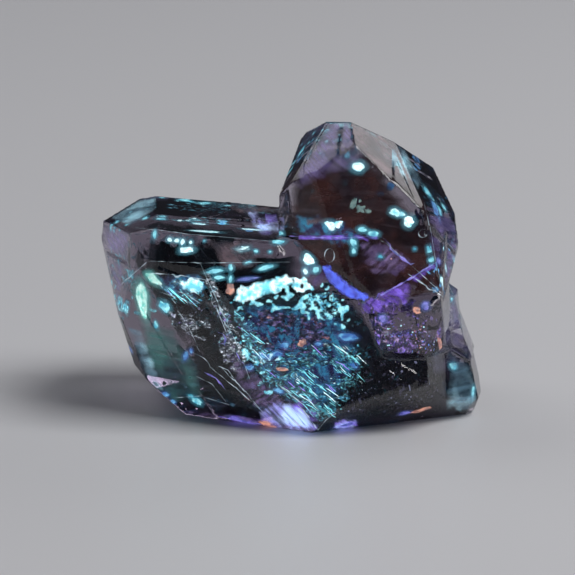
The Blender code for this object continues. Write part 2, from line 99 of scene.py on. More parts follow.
# Almost upright, so that a ray runs along no facet.
UPWARD = Vector((0.013, 0.007, 1.0))

Pixel = tuple[float, float]
Rgb = tuple[float, float, float]


class Slot(Enum):
    """Material slots of the record."""

    QUARTZ = "quartz"
    OIL = "oil"
    BITUMEN = "bitumen"
    # Painted glints: the dim ones along the cracks and the lump's sparkle.
    PAINTED_GLINT = "fracture"


# ---------------------------------------------------------------------------------------------
# Viewpoint and the solid to measure
# ---------------------------------------------------------------------------------------------


@dataclass(frozen=True)
class Viewpoint:
    """Where the camera stands, and how a spot in its square frame becomes a sight line."""

    target: Vector = field(default_factory=lambda: Vector((-0.275, -2.295, 10.2)) * MM)
    elevation_deg: float = 14.0
    azimuth_deg: float = 0.0
    distance: float = 300.0 * MM
    pixels_per_metre: float = 12670.0
    sensor_mm: float = 36.0

    @property
    def turn(self) -> Matrix:
        """Turn about the upright axis from the front to here."""
        return Matrix.Rotation(math.radians(self.azimuth_deg), 3, "Z")

    @property
    def forward(self) -> Vector:
        """Direction of sight."""
        angle = math.radians(self.elevation_deg)
        return self.turn @ Vector((0.0, math.cos(angle), -math.sin(angle)))

    @property
    def right(self) -> Vector:
        """Direction to the right of the frame."""
        return self.turn @ Vector((1.0, 0.0, 0.0))

    @property
    def up(self) -> Vector:
        """Direction to the top of the frame."""
        return self.right.cross(self.forward)

    @property
    def eye(self) -> Vector:
        """Place of the camera."""
        return self.target - self.forward * self.distance

    @property
    def focal_px(self) -> float:
        """Focal length in pixels of the frame."""
        return self.pixels_per_metre * self.distance

    def sight_line(self, spot: Pixel) -> Vector:
        """Gives the direction of sight through a spot in the frame.

        Args:
            spot: column and row in the frame.

        Returns:
            The unit direction from the eye.
        """
        across = (spot[0] - FRAME_PX / 2) / self.focal_px
        down = (spot[1] - FRAME_PX / 2) / self.focal_px
        return (self.forward + self.right * across - self.up * down).normalized()

    def make_camera(self) -> bpy.types.Object:
        """Makes the camera and sets it as the scene's own."""
        data = bpy.data.cameras.new("camera")
        data.sensor_width = self.sensor_mm
        data.lens = self.focal_px / FRAME_PX * self.sensor_mm
        data.clip_start = 0.01
        data.clip_end = 10.0
        camera = bpy.data.objects.new("camera", data)
        axes = Matrix((self.right, self.up, -self.forward)).transposed().to_4x4()
        camera.matrix_world = Matrix.Translation(self.eye) @ axes
        bpy.context.scene.collection.objects.link(camera)
        bpy.context.scene.camera = camera
        return camera


@dataclass(frozen=True)
class Sight:
    """A sight line bent into the crystal: where it enters, how it runs on and for how long."""

    entry: Vector
    normal: Vector
    direction: Vector
    length: float

    def at(self, depth: float) -> Vector:
        """Point at a depth along the bent line, kept clear of the far side."""
        return self.entry + self.direction * min(depth, self.length * DEEPEST_SHARE)

    @property
    def is_grazing(self) -> bool:
        """Whether the line skims the surface, so that one spot would cover a long stretch of it."""
        return -self.normal.dot(self.direction) < GRAZING


class CrystalSolid:
    """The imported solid's outer surface, with its fracture closed, that pieces are placed against."""

    def __init__(self, node: bpy.types.Object, films: bpy.types.Object, view: Viewpoint) -> None:
        """Reads the solid.

        Args:
            node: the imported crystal.
            films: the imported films, which lie in the fracture.
            view: the viewpoint that sight lines start from.
        """
        self.view = view
        self.mesh = node.data.copy()
        bm = bmesh.new()
        bm.from_mesh(self.mesh)
        bmesh.ops.remove_doubles(bm, verts=bm.verts, dist=MERGE_DISTANCE)
        self._close_fracture(bm, films.data.vertices[0].co)
        bm.to_mesh(self.mesh)
        self.tree = BVHTree.FromBMesh(bm)
        bm.free()

    @staticmethod
    def _close_fracture(bm: bmesh.types.BMesh, within: Vector) -> None:
        """Takes the walls of the fracture away, up to its mouth in the rest facet, and closes that.

        Args:
            bm: the solid's mesh.
            within: a point that lies in the fracture.
        """
        walls = {min(bm.faces, key=lambda face: (face.calc_center_median() - within).length)}
        front = list(walls)
        while front:
            for edge in front.pop().edges:
                for face in edge.link_faces:
                    resting = (face.normal.z < REST_NORMAL_Z
                               and face.calc_center_median().z < REST_HEIGHT)
                    if face not in walls and not resting:
                        walls.add(face)
                        front.append(face)
        bmesh.ops.delete(bm, geom=list(walls), context="FACES")
        mouth = [edge for edge in bm.edges if edge.is_boundary]
        bmesh.ops.holes_fill(bm, edges=mouth)
        bmesh.ops.recalc_face_normals(bm, faces=bm.faces)

    def seen_from(self, azimuth_deg: float, elevation_deg: float) -> "CrystalSolid":
        """Gives the same solid with its sight lines drawn from another side."""
        turned = copy.copy(self)
        turned.view = replace(self.view, azimuth_deg=azimuth_deg, elevation_deg=elevation_deg)
        return turned

    def sight(self, spot: Pixel) -> Optional[Sight]:
        """Follows a sight line into the crystal, bent at its surface as light is.

        Args:
            spot: column and row in the frame.

        Returns:
            The bent sight line, or None where the spot is beside the crystal.
        """
        line = self.view.sight_line(spot)
        entry, normal, _, _ = self.tree.ray_cast(self.view.eye, line)
        if entry is None:
            return None
        if normal.dot(line) > 0:
            normal = -normal
        ratio = 1.0 / QUARTZ_IOR
        cosine = -normal.dot(line)
        root = math.sqrt(max(0.0, 1.0 - ratio * ratio * (1.0 - cosine * cosine)))
        bent = (line * ratio + normal * (ratio * cosine - root)).normalized()
        _, _, _, length = self.tree.ray_cast(entry + bent * RAY_START, bent)
        return Sight(entry, normal, bent, length or 0.0)

    def is_inside(self, point: Vector, margin: float = SKIN) -> bool:
        """Tells whether a point lies inside the crystal, at least a margin under its surface."""
        _, normal, _, _ = self.tree.ray_cast(point, UPWARD)
        if normal is None or normal.dot(UPWARD) < 0:
            return False
        return self.tree.find_nearest(point)[3] > margin

    def drawn_in(self, point: Vector) -> Vector:
        """Gives the point itself or, if it isn't well inside, the nearest one under the surface."""
        for _ in range(3):
            if self.is_inside(point, SKIN * SKIN_SLACK):
                break
            nearest, normal, _, _ = self.tree.find_nearest(point)
            point = nearest - normal * SKIN
        return point


# ---------------------------------------------------------------------------------------------
# Shader helpers
# ---------------------------------------------------------------------------------------------


class ShaderTree:
    """A thin wrapper that adds nodes and links to a material or a node group."""

    def __init__(self, tree: bpy.types.NodeTree) -> None:
        """Wraps a tree."""
        self.tree = tree

    def add(self, kind: str, wires: Optional[dict[object, bpy.types.NodeSocket]] = None,
            **settings: object) -> bpy.types.Node:
        """Adds a node.

        Args:
            kind: node type.
            wires: sockets to lead into its inputs, by each input's name or number.
            settings: attributes of the node, or values of inputs where the key names an input.

        Returns:
            The new node.
        """
        node = self.tree.nodes.new(kind)
        for key, value in settings.items():
            if hasattr(node, key):
                setattr(node, key, value)
            else:
                set_inputs(node, **{key: value})
        for key, socket in (wires or {}).items():
            self.link(socket, node.inputs[key])
        return node

    def link(self, source: bpy.types.NodeSocket, target: bpy.types.NodeSocket) -> None:
        """Joins two sockets."""
        self.tree.links.new(source, target)

    def fade_alpha(self, shader: bpy.types.Node, opacity: bpy.types.NodeSocket) -> None:
        """Leads an opacity, lessened towards the piece's own rims, into a shader's alpha."""
        edge = self.add("ShaderNodeAttribute", attribute_name=EDGE_ATTRIBUTE)
        alpha = self.add("ShaderNodeMath", {0: opacity, 1: edge.outputs["Fac"]}, operation="MULTIPLY")
        self.link(alpha.outputs["Value"], shader.inputs["Alpha"])


def set_inputs(node: bpy.types.Node, **values: object) -> None:
    """Sets inputs of a node, named with underscores in place of spaces."""
    for key, value in values.items():
        node.inputs[key.replace("_", " ")].default_value = value


def start_group(name: str, kind: str, inputs: Sequence[tuple[str, str, object]],
                output: tuple[str, str]) -> tuple[ShaderTree, bpy.types.Node, bpy.types.Node]:
    """Starts a node group and gives it its sockets.

    Args:
        name: name of the group.
        kind: type of the group.
        inputs: name, socket type and, unless it is None, value of each input.
        output: name and socket type of the output.

    Returns:
        The group's tree, its group input and its group output.
    """
    group = bpy.data.node_groups.new(name, kind)
    for label, socket_type, value in inputs:
        socket = group.interface.new_socket(label, in_out="INPUT", socket_type=socket_type)
        if value is not None:
            socket.default_value = value
    group.interface.new_socket(output[0], in_out="OUTPUT", socket_type=output[1])
    tree = ShaderTree(group)
    return tree, tree.add("NodeGroupInput"), tree.add("NodeGroupOutput")


def rgba(colour: Rgb) -> tuple[float, float, float, float]:
    """Adds full alpha to a colour."""
    return (*colour, 1.0)


def new_object(name: str, mesh: bpy.types.Mesh) -> bpy.types.Object:
    """Makes an object at the origin that shows a mesh."""
    made = bpy.data.objects.new(name, mesh)
    bpy.context.scene.collection.objects.link(made)
    return made


def mesh_from(bm: bmesh.types.BMesh, name: str, smooth: bool = True) -> bpy.types.Mesh:
    """Turns a bmesh into a mesh and frees it.

    Args:
        bm: the geometry.
        name: name of the mesh.
        smooth: whether its faces are shaded smooth.

    Returns:
        The mesh.
    """
    mesh = bpy.data.meshes.new(name)
    bm.to_mesh(mesh)
    bm.free()
    mesh.polygons.foreach_set("use_smooth", [smooth] * len(mesh.polygons))
    return mesh


def mount(piece: bpy.types.Object) -> bpy.types.Object:
    """Lets a finished piece ride on the crystal's body, and logs how many faces it has.

    Args:
        piece: the finished piece.

    Returns:
        The same piece.
    """
    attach(piece, BODY_NAME)
    LOG.info("%s: %d faces", piece.name, len(piece.data.polygons))
    return piece


def start_material(name: str) -> tuple[bpy.types.Material, ShaderTree, bpy.types.Node]:
    """Starts a material whose glow is seen but lights nothing by itself.

    Args:
        name: name of the material.

    Returns:
        The material, its tree and its Principled node.
    """
    material = bpy.data.materials.new(name)
    material.use_nodes = True
    material.cycles.emission_sampling = "NONE"
    return material, ShaderTree(material.node_tree), material.node_tree.nodes["Principled BSDF"]


def set_stops(ramp: bpy.types.Node, stops: Sequence[tuple[float, Rgb]], blend: str = "LINEAR") -> None:
    """Gives a colour ramp its stops.

    Args:
        ramp: the ramp node.
        stops: positions and colours, in order.
        blend: how it goes from one stop to the next.
    """
    elements = ramp.color_ramp.elements
    ramp.color_ramp.interpolation = blend
    while len(elements) < len(stops):
        elements.new(1.0)
    for element, (position, colour) in zip(elements, stops):
        element.position = position
        element.color = rgba(colour)


@dataclass(frozen=True)
class QuartzFinish:
    """Clear quartz that takes up light over its thickness."""

    name: str = "clear_quartz"
    base: Rgb = (0.97, 0.96, 1.0)
    roughness: float = 0.0
    # The faint violet of this absorption colour is a painted tint of violet light.
    absorption_and_violet_tint: Rgb = (0.58, 0.54, 0.60)
    absorption_density: float = 230.0

    def make(self) -> bpy.types.Material:
        """Builds the material."""
        material = bpy.data.materials.new(self.name)
        material.use_nodes = True
        tree = ShaderTree(material.node_tree)
        set_inputs(material.node_tree.nodes["Principled BSDF"], Base_Color=rgba(self.base),
                   Roughness=self.roughness,
                   IOR=QUARTZ_IOR, Transmission_Weight=1.0)
        volume = tree.add("ShaderNodeVolumeAbsorption", Color=rgba(self.absorption_and_violet_tint),
                          Density=self.absorption_density)
        tree.link(volume.outputs["Volume"], material.node_tree.nodes["Material Output"].inputs["Volume"])
        return material


def remeshed(source: bpy.types.Mesh, name: str, voxel: float, adaptivity: float = 0.0) -> bpy.types.Mesh:
    """Gives a closed, smooth-shaded mesh of small even faces, worked out on an enlarged copy.

    Args:
        source: the mesh to copy, which stays as it is.
        name: name of the new mesh.
        voxel: size of the faces in metres.
        adaptivity: how far flat stretches may be made of fewer faces.

    Returns:
        The new mesh, without materials.
    """
    mesh = source.copy()
    mesh.transform(Matrix.Scale(REMESH_SCALE, 4))
    rough = new_object(name + "_rough", mesh)
    remesh = rough.modifiers.new("remesh", "REMESH")
    remesh.mode = "VOXEL"
    remesh.voxel_size = voxel * REMESH_SCALE
    remesh.adaptivity = adaptivity
    made = bpy.data.meshes.new_from_object(rough.evaluated_get(bpy.context.evaluated_depsgraph_get()))
    bpy.data.objects.remove(rough)
    made.transform(Matrix.Scale(1.0 / REMESH_SCALE, 4))
    made.polygons.foreach_set("use_smooth", [True] * len(made.polygons))
    made.name = name
    made.materials.clear()
    return made


@dataclass
class ClearCrystal:
    """The clear crystal itself, with edges rounded as finely as natural ones are."""

    solid: CrystalSolid
    voxel: float = 0.12 * MM
    adaptivity: float = 0.03

    def build(self) -> bpy.types.Object:
        """Builds the piece."""
        made = remeshed(self.solid.mesh, "clear_quartz", self.voxel, self.adaptivity)
        made.materials.append(QuartzFinish().make())
        return new_object("clear_quartz", made)


# ---------------------------------------------------------------------------------------------
# Finishes of what lies inside
# ---------------------------------------------------------------------------------------------


def mottle_group() -> bpy.types.NodeTree:
    """Builds, once, the group that turns object coordinates into a soft uneven mask.

    Returns:
        A group with inputs Scale, Low, High and Detail, and the output Mask.
    """
    name = "mottle"
    if name in bpy.data.node_groups:
        return bpy.data.node_groups[name]
    inputs = [(label, "NodeSocketFloat", value)
              for label, value in (("Scale", 2000.0), ("Low", 0.4), ("High", 0.6), ("Detail", 4.0))]
    tree, source, target = start_group(name, "ShaderNodeTree", inputs, ("Mask", "NodeSocketFloat"))
    place = tree.add("ShaderNodeTexCoord")
    cloud = tree.add("ShaderNodeTexNoise",
                     {"Vector": place.outputs["Object"], "Scale": source.outputs["Scale"],
                                            "Detail": source.outputs["Detail"]})
    ramp = tree.add("ShaderNodeMapRange", {"Value": cloud.outputs["Fac"], "From Min": source.outputs["Low"],
                                           "From Max": source.outputs["High"]},
                                           interpolation_type="SMOOTHSTEP")
    tree.link(ramp.outputs["Result"], target.inputs["Mask"])
    return tree.tree


def striation_group() -> bpy.types.NodeTree:
    """Builds, once, the group that draws fine uneven growth lines across one direction.

    Returns:
        A group with inputs Turn (a rotation) and Scale, and the output Line.
    """
    name = "striation"
    if name in bpy.data.node_groups:
        return bpy.data.node_groups[name]
    tree, source, target = start_group(
        name, "ShaderNodeTree", (("Turn", "NodeSocketVector", None), ("Scale", "NodeSocketFloat", 3000.0)),
        ("Line", "NodeSocketFloat"))
    place = tree.add("ShaderNodeTexCoord")
    turn = tree.add("ShaderNodeVectorRotate",
                    {"Vector": place.outputs["Object"], "Rotation": source.outputs["Turn"]},
                    rotation_type="EULER_XYZ")
    squeeze = tree.add("ShaderNodeMapping", {"Vector": turn.outputs["Vector"]}, vector_type="POINT",
                       Scale=(0.06, 0.06, 1.0))
    cloud = tree.add("ShaderNodeTexNoise",
                     {"Vector": squeeze.outputs["Vector"], "Scale": source.outputs["Scale"]},
                     Detail=3.0)
    sharpen = tree.add("ShaderNodeMapRange", {"Value": cloud.outputs["Fac"]}, interpolation_type="SMOOTHSTEP",
                       From_Min=0.36, From_Max=0.64)
    tree.link(sharpen.outputs["Result"], target.inputs["Line"])
    return tree.tree


@dataclass(frozen=True)
class GlowFinish:
    """Oil that glows: two tones mixed by an uneven mask, fading out towards its rim."""

    name: str
    dim: Rgb
    bright: Rgb
    strength: float = 2.0
    base: Rgb = (0.3, 0.5, 0.52)
    mottle_scale: float = 2200.0
    low: float = 0.38
    high: float = 0.62
    roughness: float = 0.25
    fade_from: float = 0.25
    fade_to: float = 0.85
    alpha: float = 1.0

    def make(self) -> bpy.types.Material:
        """Builds the material."""
        material, tree, shader = start_material(self.name)
        mottle = tree.add("ShaderNodeGroup", node_tree=mottle_group(),
                          Scale=self.mottle_scale, Low=self.low, High=self.high)
        mix = tree.add("ShaderNodeMix", {"Factor": mottle.outputs["Mask"]}, data_type="RGBA",
                       A=rgba(self.dim), B=rgba(self.bright))
        tree.link(mix.outputs["Result"], shader.inputs["Emission Color"])
        rim = tree.add("ShaderNodeLayerWeight", Blend=0.5)
        fade = tree.add("ShaderNodeMapRange", {"Value": rim.outputs["Facing"]},
                        interpolation_type="SMOOTHSTEP",
                        From_Min=self.fade_from, From_Max=self.fade_to, To_Min=self.alpha, To_Max=0.0)
        tree.fade_alpha(shader, fade.outputs["Result"])
        set_inputs(shader, Emission_Strength=self.strength, Base_Color=rgba(self.base),
                   Roughness=self.roughness)
        return material


@dataclass(frozen=True)
class CrackleGlintFinish:
    """A crazed film whose bright crumbs and veins of several colours are painted glints, with gaps between
    them.
    """

    name: str
    hues: tuple[tuple[float, Rgb], ...]
    strength: float = 1.0
    scale: float = 3600.0
    stretch: tuple[float, float, float] = (1.0, 1.0, 1.0)
    turn_deg: float = 0.0
    gaps: float = 0.46
    clearings: float = 0.46
    gap_edge: float = 0.03
    clearing_edge: float = 0.04
    floor_tone: Rgb = (0.0, 0.01, 0.015)
    base: Rgb = (0.05, 0.06, 0.08)

    def make(self) -> bpy.types.Material:
        """Builds the material."""
        material, tree, shader = start_material(self.name)
        place = tree.add("ShaderNodeTexCoord")
        turn = tree.add("ShaderNodeMapping", {"Vector": place.outputs["Object"]},
                        Rotation=(0.0, math.radians(self.turn_deg), 0.0), Scale=self.stretch)
        # Painted glints: noise ramped past white into bright crumbs, then tinted by the hue ramp.
        crumbs = self._noise(tree, turn, self.scale, 0.7)
        tone = tree.add("ShaderNodeValToRGB", {"Fac": crumbs.outputs["Fac"]})
        set_stops(tone, ((0.0, self.floor_tone), (0.47, (0.03, 0.03, 0.035)), (0.54, (0.30, 0.30, 0.30)),
                         (0.61, (1.0, 1.0, 1.0)), (0.70, (2.2, 2.2, 2.2))))
        patches = self._noise(tree, turn, self.scale * 0.27, 0.55)
        hue = tree.add("ShaderNodeValToRGB", {"Fac": patches.outputs["Fac"]})
        set_stops(hue, self.hues)
        mix = tree.add("ShaderNodeMix", data_type="RGBA", blend_type="MULTIPLY", Factor=1.0)
        tree.link(tone.outputs["Color"], mix.inputs["A"])
        tree.link(hue.outputs["Color"], mix.inputs["B"])
        holes = self._noise(tree, turn, self.scale * 0.45, 0.6)
        cut = tree.add("ShaderNodeMapRange", {"Value": holes.outputs["Color"]},
                       interpolation_type="SMOOTHSTEP",
                       From_Min=self.gaps - self.gap_edge, From_Max=self.gaps + self.gap_edge)
        clearings = tree.add("ShaderNodeGroup", node_tree=mottle_group(), Scale=self.scale * 0.2,
                             Low=self.clearings - self.clearing_edge,
                             High=self.clearings + self.clearing_edge)
        kept = tree.add("ShaderNodeMath", {0: cut.outputs["Result"], 1: clearings.outputs["Mask"]},
                        operation="MULTIPLY")
        tree.fade_alpha(shader, kept.outputs["Value"])
        tree.link(mix.outputs["Result"], shader.inputs["Emission Color"])
        set_inputs(shader, Base_Color=rgba(self.base), Emission_Strength=self.strength, Roughness=0.3)
        return material

    @staticmethod
    def _noise(tree: ShaderTree, turn: bpy.types.Node, scale: float, roughness: float) -> bpy.types.Node:
        """Adds one layer of noise in the turned coordinates."""
        return tree.add("ShaderNodeTexNoise", {"Vector": turn.outputs["Vector"]}, Scale=scale, Detail=5.0,
                        Roughness=roughness, Distortion=0.4)


@dataclass(frozen=True)
class HazeFinish:
    """A thin, faint, lined haze that light half passes and that glows in its own colours: growth zones, veils
    and oil films, and also painted sheen, reflections and shade.
    """

    name: str
    tint: Rgb
    second: Rgb
    strength: float = 0.5
    alpha_low: float = 0.10
    alpha_high: float = 0.7
    lines: float = 0.5
    line_turn_deg: float = 0.0
    line_scale: float = 2600.0
    mottle_scale: float = 420.0

    def make(self) -> bpy.types.Material:
        """Builds the material."""
        material, tree, shader = start_material(self.name)
        mottle = tree.add("ShaderNodeGroup", node_tree=mottle_group(),
                          Scale=self.mottle_scale, Low=0.35, High=0.68)
        line = tree.add("ShaderNodeGroup", node_tree=striation_group(), Scale=self.line_scale,
                        Turn=(0.0, math.radians(self.line_turn_deg), 0.0))
        blend = tree.add("ShaderNodeMix", {"A": mottle.outputs["Mask"], "B": line.outputs["Line"]},
                         data_type="FLOAT", Factor=self.lines)
        mix = tree.add("ShaderNodeMix", {"Factor": mottle.outputs["Mask"]}, data_type="RGBA",
                       A=rgba(self.second), B=rgba(self.tint))
        thickness = tree.add("ShaderNodeMapRange", {"Value": blend.outputs["Result"]},
                             To_Min=self.alpha_low, To_Max=self.alpha_high)
        tree.fade_alpha(shader, thickness.outputs["Result"])
        for name in ("Emission Color", "Base Color"):
            tree.link(mix.outputs["Result"], shader.inputs[name])
        set_inputs(shader, Emission_Strength=self.strength, Roughness=0.6)
        return material


@dataclass(frozen=True)
class VeilFinish:
    """Dark bitumen in a healed fracture: ragged, holed, with a few dull teal and violet glints."""

    name: str = "petroleum_veil"
    dark: Rgb = (0.006, 0.007, 0.010)
    stain: Rgb = (0.018, 0.026, 0.034)
    glints: tuple[tuple[float, Rgb], ...] = (
        (0.0, (0.0, 0.0, 0.0)), (0.60, (0.010, 0.012, 0.016)), (0.68, (0.03, 0.16, 0.20)),
        (0.74, (0.10, 0.06, 0.24)), (0.80, (0.30, 0.62, 0.66)),
    )
    hole_scale: float = 900.0
    glint_scale: float = 2400.0
    strength: float = 0.7

    def make(self) -> bpy.types.Material:
        """Builds the material."""
        material, tree, shader = start_material(self.name)
        holes = tree.add("ShaderNodeGroup", node_tree=mottle_group(), Scale=self.hole_scale, Low=0.30,
                         High=0.46)
        stain = tree.add("ShaderNodeMix", {"Factor": holes.outputs["Mask"]}, data_type="RGBA",
                         A=rgba(self.dark), B=rgba(self.stain))
        place = tree.add("ShaderNodeTexCoord")
        cloud = tree.add("ShaderNodeTexNoise", {"Vector": place.outputs["Object"]}, Scale=self.glint_scale,
                         Detail=4.0, Roughness=0.62)
        ramp = tree.add("ShaderNodeValToRGB", {"Fac": cloud.outputs["Fac"]})
        set_stops(ramp, self.glints)
        tree.link(ramp.outputs["Color"], shader.inputs["Emission Color"])
        tree.link(stain.outputs["Result"], shader.inputs["Base Color"])
        tree.fade_alpha(shader, holes.outputs["Mask"])
        set_inputs(shader, Emission_Strength=self.strength, Roughness=0.32)
        return material


@dataclass(frozen=True)
class GrainFinish:
    """Grains whose own tone picks their colour from a ramp; the colour also glows, so the bright stops paint
    glints.
    """

    name: str
    stops: tuple[tuple[float, Rgb], ...]
    strength: float = 1.5
    roughness: float = 0.3

    def make(self) -> bpy.types.Material:
        """Builds the material."""
        material, tree, shader = start_material(self.name)
        tone = tree.add("ShaderNodeAttribute", attribute_name="tone")
        ramp = tree.add("ShaderNodeValToRGB", {"Fac": tone.outputs["Fac"]})
        set_stops(ramp, self.stops, "CONSTANT")
        for name in ("Emission Color", "Base Color"):
            tree.link(ramp.outputs["Color"], shader.inputs[name])
        set_inputs(shader, Emission_Strength=self.strength, Roughness=self.roughness)
        return material


# ---------------------------------------------------------------------------------------------
# What lies inside
# ---------------------------------------------------------------------------------------------


def rim_distance(place: Vector, start: Vector, end: Vector) -> float:
    """Gives the distance from a place to the stretch between two points."""
    along = end - start
    share = max(0.0, min(1.0, (place - start).dot(along) / max(along.length_squared, 1e-18)))
    return (place - start - along * share).length


def inside_outline(spot: Pixel, outline: Sequence[Pixel]) -> bool:
    """Tells whether a spot lies inside an outline in the frame."""
    crossings = 0
    for (ax, ay), (bx, by) in zip(outline, (*outline[1:], outline[0])):
        if (ay > spot[1]) != (by > spot[1]):
            if spot[0] < ax + (spot[1] - ay) / (by - ay) * (bx - ax):
                crossings += 1
    return crossings % 2 == 1


Cell = tuple[int, int]


@dataclass(frozen=True)
class Patch:
    """A sheet under the surface that fills an outline in the frame."""

    outline: tuple[Pixel, ...]
    depth: float
    waviness: float = 0.0
    wave_size: float = 1.2 * MM
    ragged: float = 0.0
    step: float = 1.5
    thickness: float = 0.02 * MM
    gaps: float = 0.0
    facet: Optional[Pixel] = None
    fade: float = 2.0

    def depth_at(self, place: Vector) -> float:
        """Depth under the surface of a point of the sheet."""
        wave = noise.fractal(place / self.wave_size, 0.9, 2.1, 4) * self.waviness
        return max(SHALLOWEST, self.depth + wave)

    def covers(self, spot: Pixel) -> bool:
        """Tells whether the sheet is there at a spot, with its ragged edge and gaps."""
        place = Vector((spot[0], spot[1], 0.0))
        stray = noise.noise_vector(place / STRAY_WIDE_PX) + noise.noise_vector(place / STRAY_FINE_PX) * 0.5
        shifted = (spot[0] + stray.x * self.ragged, spot[1] + stray.y * self.ragged)
        if not inside_outline(shifted, self.outline):
            return False
        return not self.gaps or noise.fractal(place / HOLE_SIZE_PX, 0.8, 2.1, 3) >= self.gaps - HOLE_LEVEL

    def spots(self, solid: CrystalSolid) -> dict[Cell, Pixel]:
        """Lists the grid spots that the sheet covers.

        Args:
            solid: the crystal.

        Returns:
            The spots by their place in the grid.
        """
        columns = [p[0] for p in self.outline]
        rows = [p[1] for p in self.outline]
        wide = int((max(columns) - min(columns)) / self.step) + 3
        tall = int((max(rows) - min(rows)) / self.step) + 3
        facing = solid.sight(self.facet).normal if self.facet else None
        found: dict[Cell, Pixel] = {}
        for i in range(wide):
            for j in range(tall):
                spot = (min(columns) + (i - 1) * self.step, min(rows) + (j - 1) * self.step)
                if not self.covers(spot):
                    continue
                sight = solid.sight(spot)
                if sight is None or sight.length < THINNEST_SPOT or sight.is_grazing:
                    continue
                if facing is None or sight.normal.dot(facing) > SAME_FACET:
                    found[i, j] = spot
        return found

    def add_to(self, bm: bmesh.types.BMesh, solid: CrystalSolid) -> None:
        """Adds the closed sheet to a bmesh."""
        spots = self.spots(solid)
        cells = pruned({(i, j) for (i, j) in spots
                        if all(key in spots for key in ((i + 1, j), (i, j + 1), (i + 1, j + 1)))})
        used = {key for cell in cells for key in ring_of(cell)}
        rim = {key for key in used if any(cell not in cells for cell in cells_round(key))}
        for _ in range(0 if self.facet and not self.fade else 3):
            spots = {**spots, **{key: self._smoothed(key, rim, spots) for key in rim}}
        layers = layers_from(rim, used)
        weight = bm.verts.layers.float[EDGE_ATTRIBUTE]
        top: dict[Cell, bmesh.types.BMVert] = {}
        bottom: dict[Cell, bmesh.types.BMVert] = {}
        for key in sorted(used):
            sight = solid.sight(spots[key])
            if sight is None:
                sight = solid.sight(self._smoothed(key, used, spots))
            depth = self.depth_at(sight.entry)
            top[key] = bm.verts.new(sight.at(depth))
            bottom[key] = bm.verts.new(sight.at(depth) + sight.direction * self.thickness)
            share = min(1.0, layers[key] * self.step / self.fade) if self.fade else 1.0
            top[key][weight] = bottom[key][weight] = share
        for (i, j) in sorted(cells):
            ring = ring_of((i, j))
            bm.faces.new([top[key] for key in ring])
            bm.faces.new([bottom[key] for key in reversed(ring)])
            beside = ((i - 1, j), (i, j + 1), (i + 1, j), (i, j - 1))
            for k, neighbour in enumerate(beside):
                if neighbour not in cells:
                    first, second = ring[k], ring[(k + 1) % 4]
                    bm.faces.new((top[second], top[first], bottom[first], bottom[second]))

    @staticmethod
    def _smoothed(key: Cell, among: set[Cell], spots: dict[Cell, Pixel]) -> Pixel:
        """Draws a spot halfway towards the middle of its neighbours."""
        i, j = key
        near = [spots[n] for n in ((i + 1, j), (i - 1, j), (i, j + 1), (i, j - 1)) if n in among]
        if not near:
            return spots[key]
        middle = (sum(p[0] for p in near) / len(near), sum(p[1] for p in near) / len(near))
        return ((spots[key][0] + middle[0]) / 2, (spots[key][1] + middle[1]) / 2)


def ring_of(cell: Cell) -> list[Cell]:
    """Lists the four grid corners of a cell, in order."""
    i, j = cell
    return [(i, j), (i, j + 1), (i + 1, j + 1), (i + 1, j)]


def cells_round(key: Cell) -> list[Cell]:
    """Lists the four cells that meet at a grid corner."""
    i, j = key
    return [(i, j), (i - 1, j), (i, j - 1), (i - 1, j - 1)]


def pruned(cells: set[Cell]) -> set[Cell]:
    """Drops cells that hang on by less than two sides or touch others only by a corner."""
    while True:
        loose = {(i, j) for (i, j) in cells
                 if sum(key in cells for key in ((i + 1, j), (i - 1, j), (i, j + 1), (i, j - 1))) < 2
                 or ((i + 1, j + 1) in cells and (i + 1, j) not in cells and (i, j + 1) not in cells)
                 or ((i - 1, j + 1) in cells and (i - 1, j) not in cells and (i, j + 1) not in cells)}
        if not loose:
            return cells
        cells = cells - loose


def layers_from(rim: set[Cell], used: set[Cell]) -> dict[Cell, int]:
    """Counts how many grid steps each corner lies from the rim."""
    layers = dict.fromkeys(rim, 0)
    front = set(rim)
    while front:
        front = {near for (i, j) in front for near in ((i + 1, j), (i - 1, j), (i, j + 1), (i, j - 1))
                 if near in used and near not in layers}
        layers.update(dict.fromkeys(front, max(layers.values()) + 1))
    return layers


